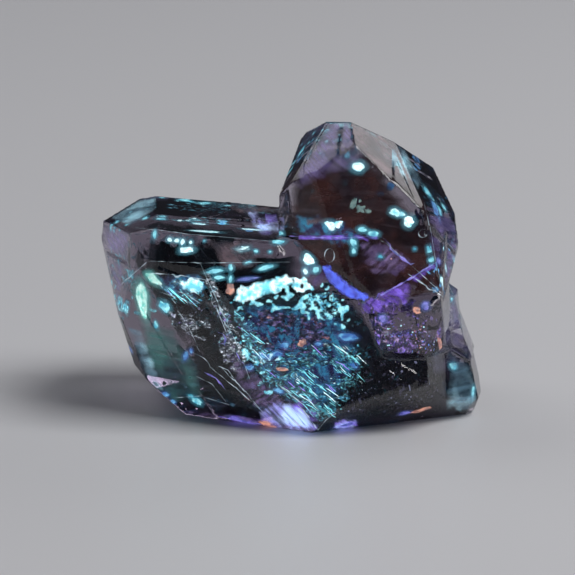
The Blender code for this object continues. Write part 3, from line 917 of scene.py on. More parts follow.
@dataclass(frozen=True)
class Pocket:
    """A small closed pocket seen at a spot, so many pixels wide and tall."""

    spot: Pixel
    size: Pixel
    lean_deg: float = 0.0
    depth: float = 0.6 * MM
    bulge: float = 0.6
    lumpiness: float = 0.28
    soft: bool = False

    def swollen(self, gain: float, extra_px: float) -> "Pocket":
        """Gives the halo of the pocket: the same place, larger, smoother and without a clear rim."""
        size = (self.size[0] * gain + extra_px, self.size[1] * gain + extra_px)
        return replace(self, size=size, lumpiness=0.1, bulge=0.5, soft=True)

    def add_to(self, bm: bmesh.types.BMesh, solid: CrystalSolid) -> None:
        """Adds the pocket to a bmesh."""
        sight = solid.sight(self.spot)
        if sight is None:
            return
        unit = 1.0 / solid.view.pixels_per_metre
        half_wide = self.size[0] * unit / 2
        half_tall = self.size[1] * unit / 2
        half_deep = min(half_wide, half_tall) * self.bulge
        depth = max(self.depth, half_deep * 1.5 + 0.05 * MM)
        centre = sight.at(depth)
        up = (solid.view.up - sight.direction * solid.view.up.dot(sight.direction)).normalized()
        across = sight.direction.cross(up)
        axes = Matrix((across, up, -sight.direction)).transposed()
        turn = axes @ Matrix.Rotation(math.radians(self.lean_deg), 3, "Z")
        detail = 3 if max(self.size) > LARGE_POCKET_PX else 2
        weight = bm.verts.layers.float[EDGE_ATTRIBUTE]
        made = bmesh.ops.create_icosphere(bm, subdivisions=detail, radius=1.0)["verts"]
        seed = Vector((self.spot[0], self.spot[1], 3.7)) * 0.37
        for vert in made:
            share = max(0.0, 1.0 - vert.co.x ** 2 - vert.co.y ** 2)
            vert[weight] = share ** 1.5 if self.soft else min(1.0, 3.0 * share)
            swell = noise.fractal(vert.co * 1.3 + seed, 0.8, 2.2, 3)
            local = vert.co * (1.0 + self.lumpiness * 2.0 * swell)
            local = Vector((local.x * half_wide, local.y * half_tall, local.z * half_deep))
            vert.co = centre + turn @ local


@dataclass(frozen=True)
class Thread:
    """A thin glowing line along spots in the frame: a painted glint, such as on the rim of a crack."""

    path: tuple[Pixel, ...]
    width_px: float = 1.2
    depth: float = 0.3 * MM
    tip_share: float = 0.12
    uneven_size: float = 0.55 * MM

    def points(self) -> list[Pixel]:
        """Spots along the thread, at even steps from bend to bend."""
        spots: list[Pixel] = []
        for (ax, ay), (bx, by) in zip(self.path, self.path[1:]):
            count = max(2, int(math.hypot(bx - ax, by - ay) / THREAD_STEP_PX))
            spots += [(ax + (bx - ax) * k / count, ay + (by - ay) * k / count) for k in range(count)]
        return [*spots, self.path[-1]]

    def add_to(self, bm: bmesh.types.BMesh, solid: CrystalSolid) -> None:
        """Adds the thread, thin at both ends, to a bmesh."""
        sights = [(spot, solid.sight(spot)) for spot in self.points()]
        run = [sight.at(self.depth) for _, sight in sights if sight is not None]
        facing = [sight.direction for _, sight in sights if sight is not None]
        if len(run) < 3:
            return
        half = self.width_px / solid.view.pixels_per_metre / 2
        weight = bm.verts.layers.float[EDGE_ATTRIBUTE]
        rings = []
        for k, (point, towards) in enumerate(zip(run, facing)):
            along = (run[min(k + 1, len(run) - 1)] - run[max(k - 1, 0)]).normalized()
            side = along.cross(towards).normalized()
            share = k / (len(run) - 1)
            uneven = max(0.06, 0.55 + 1.5 * noise.noise(point / self.uneven_size))
            width = half * (self.tip_share + (1 - self.tip_share) * math.sin(math.pi * share) ** 0.5) * uneven
            ring = [point + side * width, point + towards * width * 0.5,
                    point - side * width, point - towards * width * 0.5]
            rings.append([bm.verts.new(corner) for corner in ring])
            for vert in rings[-1]:
                vert[weight] = 1.0
        for first, second in zip(rings, rings[1:]):
            for k in range(4):
                bm.faces.new((first[k], first[(k + 1) % 4], second[(k + 1) % 4], second[k]))
        bm.faces.new(reversed(rings[0]))
        bm.faces.new(rings[-1])


def start_bmesh() -> bmesh.types.BMesh:
    """Makes an empty bmesh whose vertices can say how near a rim they are."""
    bm = bmesh.new()
    bm.verts.layers.float.new(EDGE_ATTRIBUTE)
    return bm


@dataclass
class InnerPiece:
    """One joined piece of pockets, sheets and threads that share a finish."""

    name: str
    finish: object
    parts: Sequence[object]

    def build(self, solid: CrystalSolid) -> bpy.types.Object:
        """Builds the piece inside the solid."""
        bm = start_bmesh()
        for part in self.parts:
            part.add_to(bm, solid)
        for vert in bm.verts:
            vert.co = solid.drawn_in(vert.co)
        bmesh.ops.recalc_face_normals(bm, faces=bm.faces)
        mesh = mesh_from(bm, self.name)
        mesh.materials.append(self.finish.make())
        return new_object(self.name, mesh)


def build_kinds(solid: CrystalSolid,
                kinds: Sequence[tuple[str, object, Sequence[object]]]) -> list[bpy.types.Object]:
    """Builds and mounts one joined piece for each kind.

    Args:
        solid: the crystal.
        kinds: name, finish and parts of each piece.

    Returns:
        The pieces.
    """
    return [mount(InnerPiece(*kind).build(solid)) for kind in kinds]


class GrainTree:
    """The Geometry Nodes tree that strews grains in and round a carrier sheet."""

    NAME = "grain_scatter"
    SMALLNESS = 2.4
    LEAST_SHARE = 0.22
    INPUTS = (
        ("Density", "NodeSocketFloat", 1.0e7),
        ("Size", "NodeSocketFloat", 0.0001),
        ("Spread", "NodeSocketFloat", 0.0003),
        ("Stretch", "NodeSocketVector", (1.0, 1.0, 1.0)),
        ("Lean", "NodeSocketVector", (0.0, 0.0, 0.0)),
        ("Tumble", "NodeSocketFloat", 3.14159),
        ("Seed", "NodeSocketInt", 1),
        ("Material", "NodeSocketMaterial", None),
    )

    @classmethod
    def get(cls) -> bpy.types.NodeTree:
        """Builds the tree once and gives it."""
        if cls.NAME in bpy.data.node_groups:
            return bpy.data.node_groups[cls.NAME]
        geometry = "NodeSocketGeometry"
        tree, source, target = start_group(cls.NAME, "GeometryNodeTree",
                                           (("Geometry", geometry, None), *cls.INPUTS),
                                           ("Geometry", geometry))
        given = source.outputs
        scatter = tree.add("GeometryNodeDistributePointsOnFaces",
                           {"Mesh": given["Geometry"], "Density": given["Density"], "Seed": given["Seed"]},
                           distribute_method="RANDOM")
        stray = cls._random(tree, source, "FLOAT_VECTOR", 11, (-1, -1, -1), (1, 1, 1))
        push = tree.add("ShaderNodeVectorMath", {0: stray}, operation="SCALE")
        tree.link(given["Spread"], push.inputs["Scale"])
        move = tree.add("GeometryNodeSetPosition",
                        {"Geometry": scatter.outputs["Points"], "Offset": push.outputs["Vector"]})
        grain = tree.add("GeometryNodeMeshIcoSphere", Radius=1.0, Subdivisions=1)
        place = tree.add("GeometryNodeInstanceOnPoints",
                         {"Points": move.outputs["Geometry"], "Instance": grain.outputs["Mesh"]})
        tumble = cls._random(tree, source, "FLOAT_VECTOR", 23, (-1, -1, -1), (1, 1, 1))
        roll = tree.add("ShaderNodeVectorMath", {0: tumble}, operation="SCALE")
        tree.link(given["Tumble"], roll.inputs["Scale"])
        turn = tree.add("ShaderNodeVectorMath", {0: roll.outputs["Vector"], 1: given["Lean"]},
                        operation="ADD")
        tree.link(turn.outputs["Vector"], place.inputs["Rotation"])
        chance = cls._random(tree, source, "FLOAT", 37, 0.0, 1.0)
        curve = tree.add("ShaderNodeMath", {0: chance}, operation="POWER")
        curve.inputs[1].default_value = cls.SMALLNESS
        share = tree.add("ShaderNodeMapRange", {"Value": curve.outputs["Value"]}, To_Min=cls.LEAST_SHARE,
                         To_Max=1.0)
        size = tree.add("ShaderNodeMath", {0: share.outputs["Result"], 1: given["Size"]},
                        operation="MULTIPLY")
        shape = tree.add("ShaderNodeVectorMath", {0: given["Stretch"]}, operation="SCALE")
        tree.link(size.outputs["Value"], shape.inputs["Scale"])
        tree.link(shape.outputs["Vector"], place.inputs["Scale"])
        tone = cls._random(tree, source, "FLOAT", 41, 0.0, 1.0)
        store = tree.add("GeometryNodeStoreNamedAttribute", {"Geometry": place.outputs["Instances"]},
                         data_type="FLOAT", domain="INSTANCE", Name="tone")
        tree.link(tone, store.inputs["Value"])
        realize = tree.add("GeometryNodeRealizeInstances", {"Geometry": store.outputs["Geometry"]})
        dress = tree.add("GeometryNodeSetMaterial",
                         {"Geometry": realize.outputs["Geometry"], "Material": given["Material"]})
        tree.link(dress.outputs["Geometry"], target.inputs["Geometry"])
        return tree.tree

    @staticmethod
    def _random(tree: ShaderTree, source: bpy.types.Node, kind: str, salt: int,
                low: object, high: object) -> bpy.types.NodeSocket:
        """Adds a random value that follows the tree's seed.

        Args:
            tree: the tree to add to.
            source: its group input.
            kind: data type of the value.
            salt: number that sets this value apart from the others.
            low: least value.
            high: greatest value.

        Returns:
            The socket with the value.
        """
        seed = tree.add("ShaderNodeMath", operation="ADD")
        tree.link(source.outputs["Seed"], seed.inputs[0])
        seed.inputs[1].default_value = salt
        value = tree.add("FunctionNodeRandomValue", data_type=kind)
        names = {"FLOAT_VECTOR": (0, 1, 0), "FLOAT": (2, 3, 1)}[kind]
        value.inputs[names[0]].default_value = low
        value.inputs[names[1]].default_value = high
        tree.link(seed.outputs["Value"], value.inputs["Seed"])
        return value.outputs[names[2]]


@dataclass
class GrainField:
    """Many small grains strewn along carrier sheets."""

    name: str
    slot: Slot
    finish: object
    carriers: Sequence[Patch]
    density_per_mm2: float
    size: float
    spread: float = 0.25 * MM
    stretch: tuple[float, float, float] = (1.0, 1.0, 1.0)
    lean_deg: tuple[float, float, float] = (0.0, 0.0, 0.0)
    tumble_deg: float = 180.0
    seed: int = 1

    def build(self, solid: CrystalSolid) -> bpy.types.Object:
        """Builds the grains as one plain mesh."""
        bm = start_bmesh()
        for carrier in self.carriers:
            carrier.add_to(bm, solid)
        carrier_object = new_object(self.name + "_carrier", mesh_from(bm, self.name + "_carrier"))
        modifier = carrier_object.modifiers.new("grains", "NODES")
        modifier.node_group = GrainTree.get()
        values = {
            "Density": self.density_per_mm2 / 2 * 1.0e6,
            "Size": self.size,
            "Spread": self.spread,
            "Stretch": self.stretch,
            "Lean": tuple(math.radians(angle) for angle in self.lean_deg),
            "Tumble": math.radians(self.tumble_deg),
            "Seed": self.seed,
            "Material": self.finish.make(),
        }
        for item in modifier.node_group.interface.items_tree:
            if item.in_out == "INPUT" and item.name in values:
                modifier[item.identifier] = values[item.name]
        graph = bpy.context.evaluated_depsgraph_get()
        mesh = bpy.data.meshes.new_from_object(carrier_object.evaluated_get(graph))
        mesh.name = self.name
        bpy.data.objects.remove(carrier_object)
        return new_object(self.name, keep_inside(mesh, solid))


def keep_inside(mesh: bpy.types.Mesh, solid: CrystalSolid) -> bpy.types.Mesh:
    """Drops the grains that would come out of the crystal.

    Args:
        mesh: grains, each a loose body of its own.
        solid: the crystal.

    Returns:
        The same mesh, with the others left.
    """
    bm = bmesh.new()
    bm.from_mesh(mesh)
    outside = {vert for vert in bm.verts if not solid.is_inside(vert.co, GRAIN_MARGIN)}
    doomed = set()
    waiting = list(outside)
    while waiting:
        vert = waiting.pop()
        if vert in doomed:
            continue
        doomed.add(vert)
        waiting += [edge.other_vert(vert) for edge in vert.link_edges]
    bmesh.ops.delete(bm, geom=list(doomed), context="VERTS")
    bm.to_mesh(mesh)
    bm.free()
    return mesh


def pockets(depth_mm: float, *rows: tuple[float, ...], bulge: float = 0.6,
            lumpiness: float = 0.28) -> tuple[Pocket, ...]:
    """Makes pockets from rows of column, row, width, height and, where they lean, an angle.

    Args:
        depth_mm: depth under the surface in millimetres.
        rows: one row of numbers a pocket, in pixels of the frame and degrees.
        bulge: thickness as a share of the lesser half width.
        lumpiness: how far the shape strays from an ellipsoid.

    Returns:
        The pockets.
    """
    return tuple(Pocket((row[0], row[1]), (row[2], row[3]), row[4] if len(row) > 4 else 0.0,
                        depth_mm * MM, bulge, lumpiness) for row in rows)


WHITE_GLOW = GlowFinish("oil_white", (0.20, 0.70, 0.78), (0.80, 1.0, 1.0), 1.6, low=0.30, high=0.55)
CYAN_GLOW = GlowFinish("oil_cyan", (0.03, 0.32, 0.46), (0.40, 0.92, 0.97), 1.2, low=0.35, high=0.60)
BLUE_GLOW = GlowFinish("oil_blue", (0.02, 0.10, 0.42), (0.20, 0.62, 0.95), 0.9)
MINT_GLOW = GlowFinish("oil_mint", (0.16, 0.62, 0.50), (0.75, 1.0, 0.88), 1.25, low=0.34, high=0.58)
MOSS_GLOW = GlowFinish("oil_moss", (0.02, 0.06, 0.05), (0.30, 0.42, 0.36), 0.55, mottle_scale=5200.0)
VIOLET_GLOW = GlowFinish("oil_violet", (0.07, 0.03, 0.30), (0.36, 0.24, 0.90), 0.75)
ORANGE_GLOW = GlowFinish("oil_orange", (0.30, 0.08, 0.05), (1.0, 0.42, 0.26), 0.75)
DEEP_BLUE_GLOW = GlowFinish("oil_deep_blue", (0.04, 0.02, 0.42), (0.10, 0.14, 1.0), 1.0)
STREAKY_GLOW = HazeFinish("oil_streaky", (0.80, 1.0, 1.0), (0.16, 0.58, 0.68), 1.5, alpha_low=0.45,
                          alpha_high=1.0,
                          lines=0.35, line_turn_deg=8.0, line_scale=3600.0, mottle_scale=1900.0)
CYAN_HALO = GlowFinish("halo_cyan", (0.02, 0.20, 0.30), (0.05, 0.34, 0.46), 0.8, fade_from=0.5, fade_to=1.0,
                       alpha=0.42)
BLUE_HALO = GlowFinish("halo_blue", (0.02, 0.06, 0.30), (0.06, 0.14, 0.50), 0.8, fade_from=0.5, fade_to=1.0,
                       alpha=0.40)
MINT_HALO = GlowFinish("halo_mint", (0.02, 0.22, 0.20), (0.05, 0.34, 0.30), 0.8, fade_from=0.5, fade_to=1.0,
                       alpha=0.45)


@dataclass
class OilPockets:
    """Small pockets of glowing oil, each kind joined into one piece."""

    white: tuple[Pocket, ...] = (
        *pockets(0.45, (358.5, 166.7, 13, 9.5), lumpiness=0.12),
        *pockets(0.35, (207, 231.5, 26, 5.5, -3), (252, 229.5, 19, 4.5, -4), (186.5, 250, 14, 6.5, 2)),
        *pockets(0.5, (180, 220.5, 6, 4), (188, 221.5, 5, 3.5), (194.5, 218.5, 4, 3), (199, 224, 13, 4, -3),
                 (169.6, 239.8, 5, 4.5), (177, 240.6, 5.5, 4), (183, 241.8, 4.5, 6), (190.5, 242.4, 3, 3.5),
                 (242, 249.3, 15, 6, 12), (309, 259, 11, 13, 35), (305.5, 272, 5, 6, 20)),
        *pockets(0.4, (396, 212.5, 11, 7, -20), (409, 222, 10, 11, -40), (402, 214, 7, 4, -10),
                 (330, 225.5, 11, 8, -25), (440.5, 281, 4, 9, 12), (446, 269, 3, 8, 8)),
    )
    cyan: tuple[Pocket, ...] = (
        *pockets(0.4, (301.5, 151, 6, 12, -12), (290, 171, 2.5, 12, -15), (203, 199.5, 14, 4, -8),
                 (154.7, 234.4, 3.5, 8), (279, 242, 12, 5, 10), (281, 233, 6, 4), (266, 268, 16, 3.5, 14),
                 (248, 262.5, 8, 3, 14), (230.6, 268, 5, 6), (230.6, 279, 4, 7), (215, 271, 16, 4, 8),
                 (219, 277.5, 10, 4, 0), (156, 325, 4, 8), (164, 306.5, 12, 9, -40), (371, 134, 9, 2.5, -18)),
        *pockets(0.6, (362, 230, 9, 5, -10), (373, 234, 11, 5, -8), (353.5, 243, 6, 9, 20), (380, 257, 5, 4),
                 (316, 269, 7, 5, 30), (414.6, 249, 3, 3), (431, 249, 3, 7), (430.5, 260, 4, 5),
                 (354, 251, 4, 6), (205, 241, 2, 2), (256, 251, 4, 3), (270, 254, 3, 2)),
        *pockets(0.7, (453, 366, 9, 7, -15), (473, 392, 3.5, 12, -8), (197, 401, 11, 8, -30),
                 (191, 396, 6, 5)),
    )
    blue: tuple[Pocket, ...] = (
        *pockets(0.5, (436, 209.5, 9, 18, -12), (131, 350, 8, 8), (126, 339, 4, 7, -10), (166, 394, 8, 5),
                 (173.5, 401.5, 5, 5), (186, 356, 5, 11, -20), (191, 351, 3, 5), (440, 221, 4, 7)),
        *pockets(0.8, (265, 356, 12, 7, -8), (285, 345, 8, 5, -5), (347, 337, 18, 7, -3),
                 (277, 354, 9, 5, -8),
                 (252, 366, 7, 4, -20), (355, 366, 8, 4, -10), (318, 344, 6, 4), (279, 391, 9, 4, -15)),
    )
    mint: tuple[Pocket, ...] = (
        *pockets(0.55, (142, 301, 12, 40, 3), bulge=0.5, lumpiness=0.12),
        *pockets(0.40, (142, 297, 7, 26, 3), bulge=0.4, lumpiness=0.2),
        *pockets(0.5, (154, 279, 17, 8, -36), (149, 275, 7, 4, -20)),
    )
    moss: tuple[Pocket, ...] = (
        *pockets(0.7, (354, 203, 6, 10, -20), (361, 209, 8, 7, -30), (368, 211, 6, 5, -20), (360, 201, 3, 4),
                 lumpiness=0.45),
    )
    violet: tuple[Pocket, ...] = (
        *pockets(0.4, (405, 413, 12, 5, 6), (345, 425.0, 20, 7, 8), (243, 420.5, 28, 5, -8),
                 (247, 279, 18, 3, 6), (383, 318, 7, 7), (425, 305, 8, 6, 30), (438.5, 261, 9, 6, 0)),
    )
    orange: tuple[Pocket, ...] = (
        *pockets(0.4, (267, 424.0, 17, 8, -8), (421, 410.0, 22, 6, 14), (440, 344, 5, 16, 24),
                 (230.6, 289, 9, 10, 10),
                 (302, 343, 9, 7, 10), (282, 369, 12, 4, -5), (391, 259, 1.6, 1.6), (417, 311, 8, 6)),
    )

    def build(self, solid: CrystalSolid) -> list[bpy.types.Object]:
        """Builds one joined piece for each colour of glow, and their halos."""
        halos = [pocket.swollen(*HALO) for pocket in (*self.white, *self.cyan)]
        far_halos = [pocket.swollen(*FAR_HALO) for pocket in (*self.blue, *self.violet)]
        kinds = (("oil_pockets_white", WHITE_GLOW, self.white), ("oil_pockets_cyan", CYAN_GLOW, self.cyan),
                 ("oil_pockets_blue", BLUE_GLOW, self.blue), ("oil_pockets_mint", MINT_GLOW, self.mint),
                 ("oil_pockets_violet", VIOLET_GLOW, self.violet),
                 ("oil_pockets_orange", ORANGE_GLOW, self.orange),
                 ("oil_pockets_moss", MOSS_GLOW, self.moss), ("oil_halos_cyan", CYAN_HALO, halos),
                 ("oil_halos_blue", BLUE_HALO, far_halos),
                 ("oil_halos_mint", MINT_HALO, [pocket.swollen(*WIDE_HALO) for pocket in self.mint]))
        return build_kinds(solid, kinds)


@dataclass
class OilFilms:
    """Thin films of oil that heal old fractures."""

    bright: tuple[Patch, ...] = (
        Patch(((233, 300), (236, 288), (262, 279), (292, 275), (298, 284), (272, 294), (254, 301),
               (242, 304)),
              0.9 * MM, ragged=2.5, waviness=0.25 * MM, step=1.0, fade=4.0),
        Patch(((238, 292), (262, 283), (288, 279), (286, 284), (262, 290), (244, 297)), 0.7 * MM, ragged=2.0,
              step=1.0, fade=3.0),
        Patch(((290, 276), (306, 276), (316, 286), (306, 294), (290, 289)), 0.9 * MM, ragged=4.0,
              waviness=0.3 * MM, gaps=0.12, step=1.0),
        Patch(((240, 346), (262, 350), (284, 356), (280, 362), (258, 360), (244, 354)), 0.8 * MM, ragged=3.0,
              gaps=0.36, step=1.0),
        Patch(((177, 281), (190, 277), (204, 281), (204, 291), (192, 294), (182, 290)), 0.5 * MM, ragged=2.5,
              step=1.0, fade=3.0),
        Patch(((329, 221), (340, 219), (348, 224), (346, 233), (338, 233)), 0.5 * MM, ragged=2.5, gaps=0.1),
    )
    soft: tuple[Patch, ...] = (
        Patch(((296, 298), (310, 290), (332, 291), (348, 306), (340, 320), (318, 320), (300, 313)),
              1.1 * MM, ragged=5.0, waviness=0.4 * MM, gaps=0.34, step=1.0),
        Patch(((228, 305), (240, 285), (290, 273), (335, 285), (356, 310), (350, 330), (310, 322),
               (270, 316), (240, 318)), 1.5 * MM, ragged=7.0, waviness=0.5 * MM, gaps=0.42),
        Patch(((228, 300), (246, 330), (268, 372), (280, 400), (262, 396), (240, 352), (224, 320)),
              0.5 * MM, ragged=5.0, waviness=0.3 * MM, gaps=0.46),
        Patch(((270, 236), (284, 234), (286, 246), (270, 246)), 0.4 * MM, ragged=3.0, gaps=0.35),
        Patch(((384, 146), (396, 146), (411, 166), (412, 178), (400, 171), (388, 160)), 0.25 * MM, ragged=2.5,
              gaps=0.34, step=1.0, fade=4.0),
    )
    deep: tuple[Patch, ...] = (
        Patch(((320, 264), (329, 265), (348, 283), (371, 296), (366, 303), (344, 296), (325, 280)),
              0.45 * MM, ragged=2.0, step=1.0, fade=3.0),
    )

    def build(self, solid: CrystalSolid) -> list[bpy.types.Object]:
        """Builds the bright, soft and deep blue films."""
        kinds = (("oil_film_bright", STREAKY_GLOW, self.bright), ("oil_film_soft", CYAN_GLOW, self.soft),
                 ("oil_film_deep", DEEP_BLUE_GLOW, self.deep))
        return build_kinds(solid, kinds)


# Flake tones; their bright stops glow as painted glints.
HEART_STOPS = (
    (0.0, (0.02, 0.09, 0.12)), (0.34, (0.05, 0.025, 0.10)), (0.48, (0.06, 0.28, 0.34)),
    (0.58, (0.01, 0.015, 0.025)), (0.72, (0.24, 0.66, 0.72)), (0.80, (0.14, 0.10, 0.34)),
    (0.88, (0.04, 0.22, 0.50)), (0.945, (0.70, 0.24, 0.16)), (0.962, (0.75, 1.0, 1.0)),
)
STREAK_STOPS = (
    (0.0, (0.03, 0.16, 0.20)), (0.35, (0.01, 0.03, 0.05)), (0.60, (0.22, 0.70, 0.75)),
    (0.85, (0.75, 1.0, 1.0)), (0.94, (0.30, 0.18, 0.70)),
)
# Dark bitumen tones; the top stops glow as painted glints.
CRUST_STOPS = (
    (0.0, (0.004, 0.004, 0.006)), (0.78, (0.014, 0.012, 0.018)), (0.91, (0.06, 0.06, 0.10)),
    (0.97, (0.24, 0.26, 0.40)),
)
GLINT_STOPS = (
    (0.0, (0.008, 0.008, 0.014)), (0.50, (0.06, 0.05, 0.12)), (0.74, (0.16, 0.12, 0.34)),
    (0.86, (0.14, 0.38, 0.46)), (0.94, (0.62, 0.72, 0.85)),
)
LUMP_STOPS = (
    (0.0, (0.10, 0.06, 0.20)), (0.45, (0.20, 0.11, 0.40)), (0.66, (0.36, 0.28, 0.50)),
    (0.80, (0.08, 0.24, 0.70)), (0.88, (0.55, 0.25, 0.24)), (0.94, (0.50, 0.90, 0.95)),
)
# Hues of the crazed films' bright crumbs, which are painted glints.
TEAL_HUES = ((0.30, (0.10, 0.06, 0.30)), (0.42, (0.03, 0.30, 0.42)), (0.50, (0.25, 0.75, 0.80)),
             (0.58, (0.04, 0.26, 0.48)), (0.66, (0.45, 0.85, 0.90)), (0.74, (0.60, 0.22, 0.16)))
MAUVE_HUES = ((0.30, (0.05, 0.34, 0.46)), (0.42, (0.18, 0.14, 0.44)), (0.50, (0.28, 0.20, 0.38)),
              (0.57, (0.08, 0.16, 0.44)), (0.64, (0.60, 0.26, 0.24)), (0.72, (0.12, 0.45, 0.70)))
SILVER_HUES = ((0.30, (0.10, 0.08, 0.24)), (0.42, (0.30, 0.34, 0.40)), (0.52, (0.55, 0.62, 0.68)),
               (0.60, (0.20, 0.46, 0.54)), (0.68, (0.30, 0.22, 0.62)), (0.76, (0.62, 0.50, 0.46)))
VIOLET_HUES = ((0.30, (0.10, 0.05, 0.30)), (0.45, (0.30, 0.20, 0.55)), (0.55, (0.14, 0.10, 0.60)),
               (0.65, (0.55, 0.40, 0.60)), (0.75, (0.25, 0.70, 0.85)))


SIDE_VEIL = GlowFinish("side_veil", (0.02, 0.10, 0.16), (0.16, 0.50, 0.58), 0.8, fade_from=0.5, fade_to=1.0,
                       alpha=0.7)
SIDE_ZONE = HazeFinish("side_zone", (0.24, 0.23, 0.38), (0.07, 0.07, 0.15), 0.35, alpha_low=0.0,
                       alpha_high=0.55,
                       lines=0.7, line_turn_deg=-35.0, line_scale=3800.0)
SIDE_CRAZED = CrackleGlintFinish("side_crazed", TEAL_HUES, 1.0, 2600.0, (1.0, 1.0, 2.2), -35.0, 0.49, 0.40)


@dataclass
class CrazedFilms:
    """Crumpled, crazed films that fill the rough heart of the large crystal and the lump, their bright crumbs
    painted glints.
    """

    teal: tuple[Patch, ...] = (
        Patch(((238, 342), (262, 350), (300, 352), (340, 338), (366, 352), (364, 384), (342, 408), (318, 418),
               (292, 402), (262, 386)), 1.2 * MM, 0.5 * MM, 0.9 * MM, ragged=5.0),
        Patch(((236, 320), (300, 306), (356, 322), (362, 350), (356, 386), (330, 408), (290, 398),
               (254, 372)),
              2.6 * MM, 0.9 * MM, 1.3 * MM, ragged=5.0),
    )
    mauve: tuple[Patch, ...] = (
        Patch(((240, 318), (262, 308), (300, 312), (334, 314), (346, 332), (330, 352), (288, 358),
               (252, 350)),
              1.6 * MM, 0.5 * MM, 0.9 * MM, ragged=5.0),
        Patch(((232, 372), (262, 384), (300, 404), (316, 424), (280, 420), (240, 404)), 1.0 * MM, 0.4 * MM,
              ragged=4.0),
    )
    chain: tuple[Patch, ...] = (
        Patch(((226, 292), (240, 298), (256, 322), (274, 356), (288, 388), (270, 392), (250, 360),
               (234, 322)),
              0.7 * MM, 0.3 * MM, 0.8 * MM, ragged=3.0),
        Patch(((158, 286), (180, 276), (206, 280), (214, 300), (196, 306), (172, 304)), 1.0 * MM, 0.4 * MM,
              0.8 * MM, ragged=3.0),
        Patch(((300, 296), (330, 290), (348, 304), (352, 322), (330, 322), (306, 312)), 1.1 * MM, 0.4 * MM,
              0.8 * MM, ragged=3.0),
    )
    silver: tuple[Patch, ...] = (
        Patch(((166, 306), (180, 312), (207, 318), (218, 330), (212, 342), (190, 338), (172, 326)), 0.8 * MM,
              0.4 * MM, 0.8 * MM, ragged=3.0, step=1.0),
        Patch(((202, 272), (210, 270), (222, 296), (236, 326), (248, 362), (240, 366), (226, 336),
               (212, 304)),
              0.5 * MM, 0.3 * MM, 0.8 * MM, ragged=3.0, step=1.0),
        Patch(((214, 332), (228, 330), (240, 356), (244, 376), (232, 372), (220, 352)), 1.0 * MM, 0.4 * MM,
              0.8 * MM, ragged=3.0, step=1.0),
    )
    violet: tuple[Patch, ...] = (
        Patch(((366, 318), (400, 306), (440, 318), (444, 336), (434, 352), (404, 356), (380, 350),
               (370, 336)),
              0.6 * MM, 0.35 * MM, 0.7 * MM, ragged=2.0),
        Patch(((352, 292), (372, 296), (402, 300), (420, 296), (410, 312), (380, 316), (362, 312)),
              0.8 * MM, 0.35 * MM, 0.9 * MM, ragged=3.0),
    )

    def build(self, solid: CrystalSolid) -> list[bpy.types.Object]:
        """Builds the films of each range of colours."""
        kinds = (
            ("crazed_teal", CrackleGlintFinish("crazed_teal", TEAL_HUES, 1.3, 2300.0, (1.0, 1.0, 2.4), 38.0, 0.50),
             self.teal),
            ("crazed_mauve", CrackleGlintFinish("crazed_mauve", MAUVE_HUES, 0.8, 2300.0, (1.0, 1.0, 1.9),
                                           20.0, 0.47),
             self.mauve),
            ("crazed_chain", CrackleGlintFinish("crazed_chain", TEAL_HUES, 1.6, 3000.0, (1.0, 1.0, 1.8), 40.0,
                                           0.5),
             self.chain),
            ("crazed_violet", CrackleGlintFinish("crazed_violet", VIOLET_HUES, 1.0, 2200.0, gaps=0.50),
             self.violet),
            ("crazed_silver", CrackleGlintFinish("crazed_silver", SILVER_HUES, 1.6, 3000.0, (1.0, 1.0, 1.8),
                                            48.0, 0.47, 0.42),
             self.silver),
        )
        return build_kinds(solid, kinds)


def strewn(seed: int, centre: Pixel, spread: Pixel, count: int, size: Pixel,
           lean_deg: float = -8.0, depths_mm: tuple[float, float] = (0.4, 1.6)) -> tuple[Pocket, ...]:
    """Strews pockets round a spot, most of them near it and most of them small.

    Args:
        seed: fixes the scatter.
        centre: the spot.
        spread: typical distance from it, across and down.
        count: how many.
        size: width and height of a middling pocket.
        lean_deg: the lean that they share, within a few degrees.
        depths_mm: least and greatest depth in millimetres.

    Returns:
        The pockets.
    """
    dice = random.Random(seed)
    made = []
    for _ in range(count):
        spot = (dice.gauss(centre[0], spread[0]), dice.gauss(centre[1], spread[1]))
        gain = dice.lognormvariate(0.0, 0.45)
        made.append(Pocket(spot, (size[0] * gain, size[1] * gain), dice.gauss(lean_deg, 9.0),
                           dice.uniform(*depths_mm) * MM))
    return tuple(made)


@dataclass
class SideInclusions:
    """What is sealed under the facets of one of the sides that the front doesn't show."""

    name: str
    azimuth_deg: float
    elevation_deg: float
    pale: tuple[Pocket, ...]
    blue: tuple[Pocket, ...]
    veils: tuple[Patch, ...]
    crazed: tuple[Patch, ...] = ()
    zones: tuple[Patch, ...] = ()

    def build(self, solid: CrystalSolid) -> list[bpy.types.Object]:
        """Builds the side's pockets, veils and crazed films."""
        turned = solid.seen_from(self.azimuth_deg, self.elevation_deg)
        kinds = (("pockets_pale", CYAN_GLOW, self.pale), ("pockets_blue", BLUE_GLOW, self.blue),
                 ("halos", CYAN_HALO, [pocket.swollen(*HALO) for pocket in self.pale]),
                 ("veils", SIDE_VEIL, self.veils), ("crazed", SIDE_CRAZED, self.crazed),
                 ("zones", SIDE_ZONE, self.zones))
        return build_kinds(turned, [(f"{self.name}_{kind}", finish, parts)
                                              for kind, finish, parts in kinds if parts])


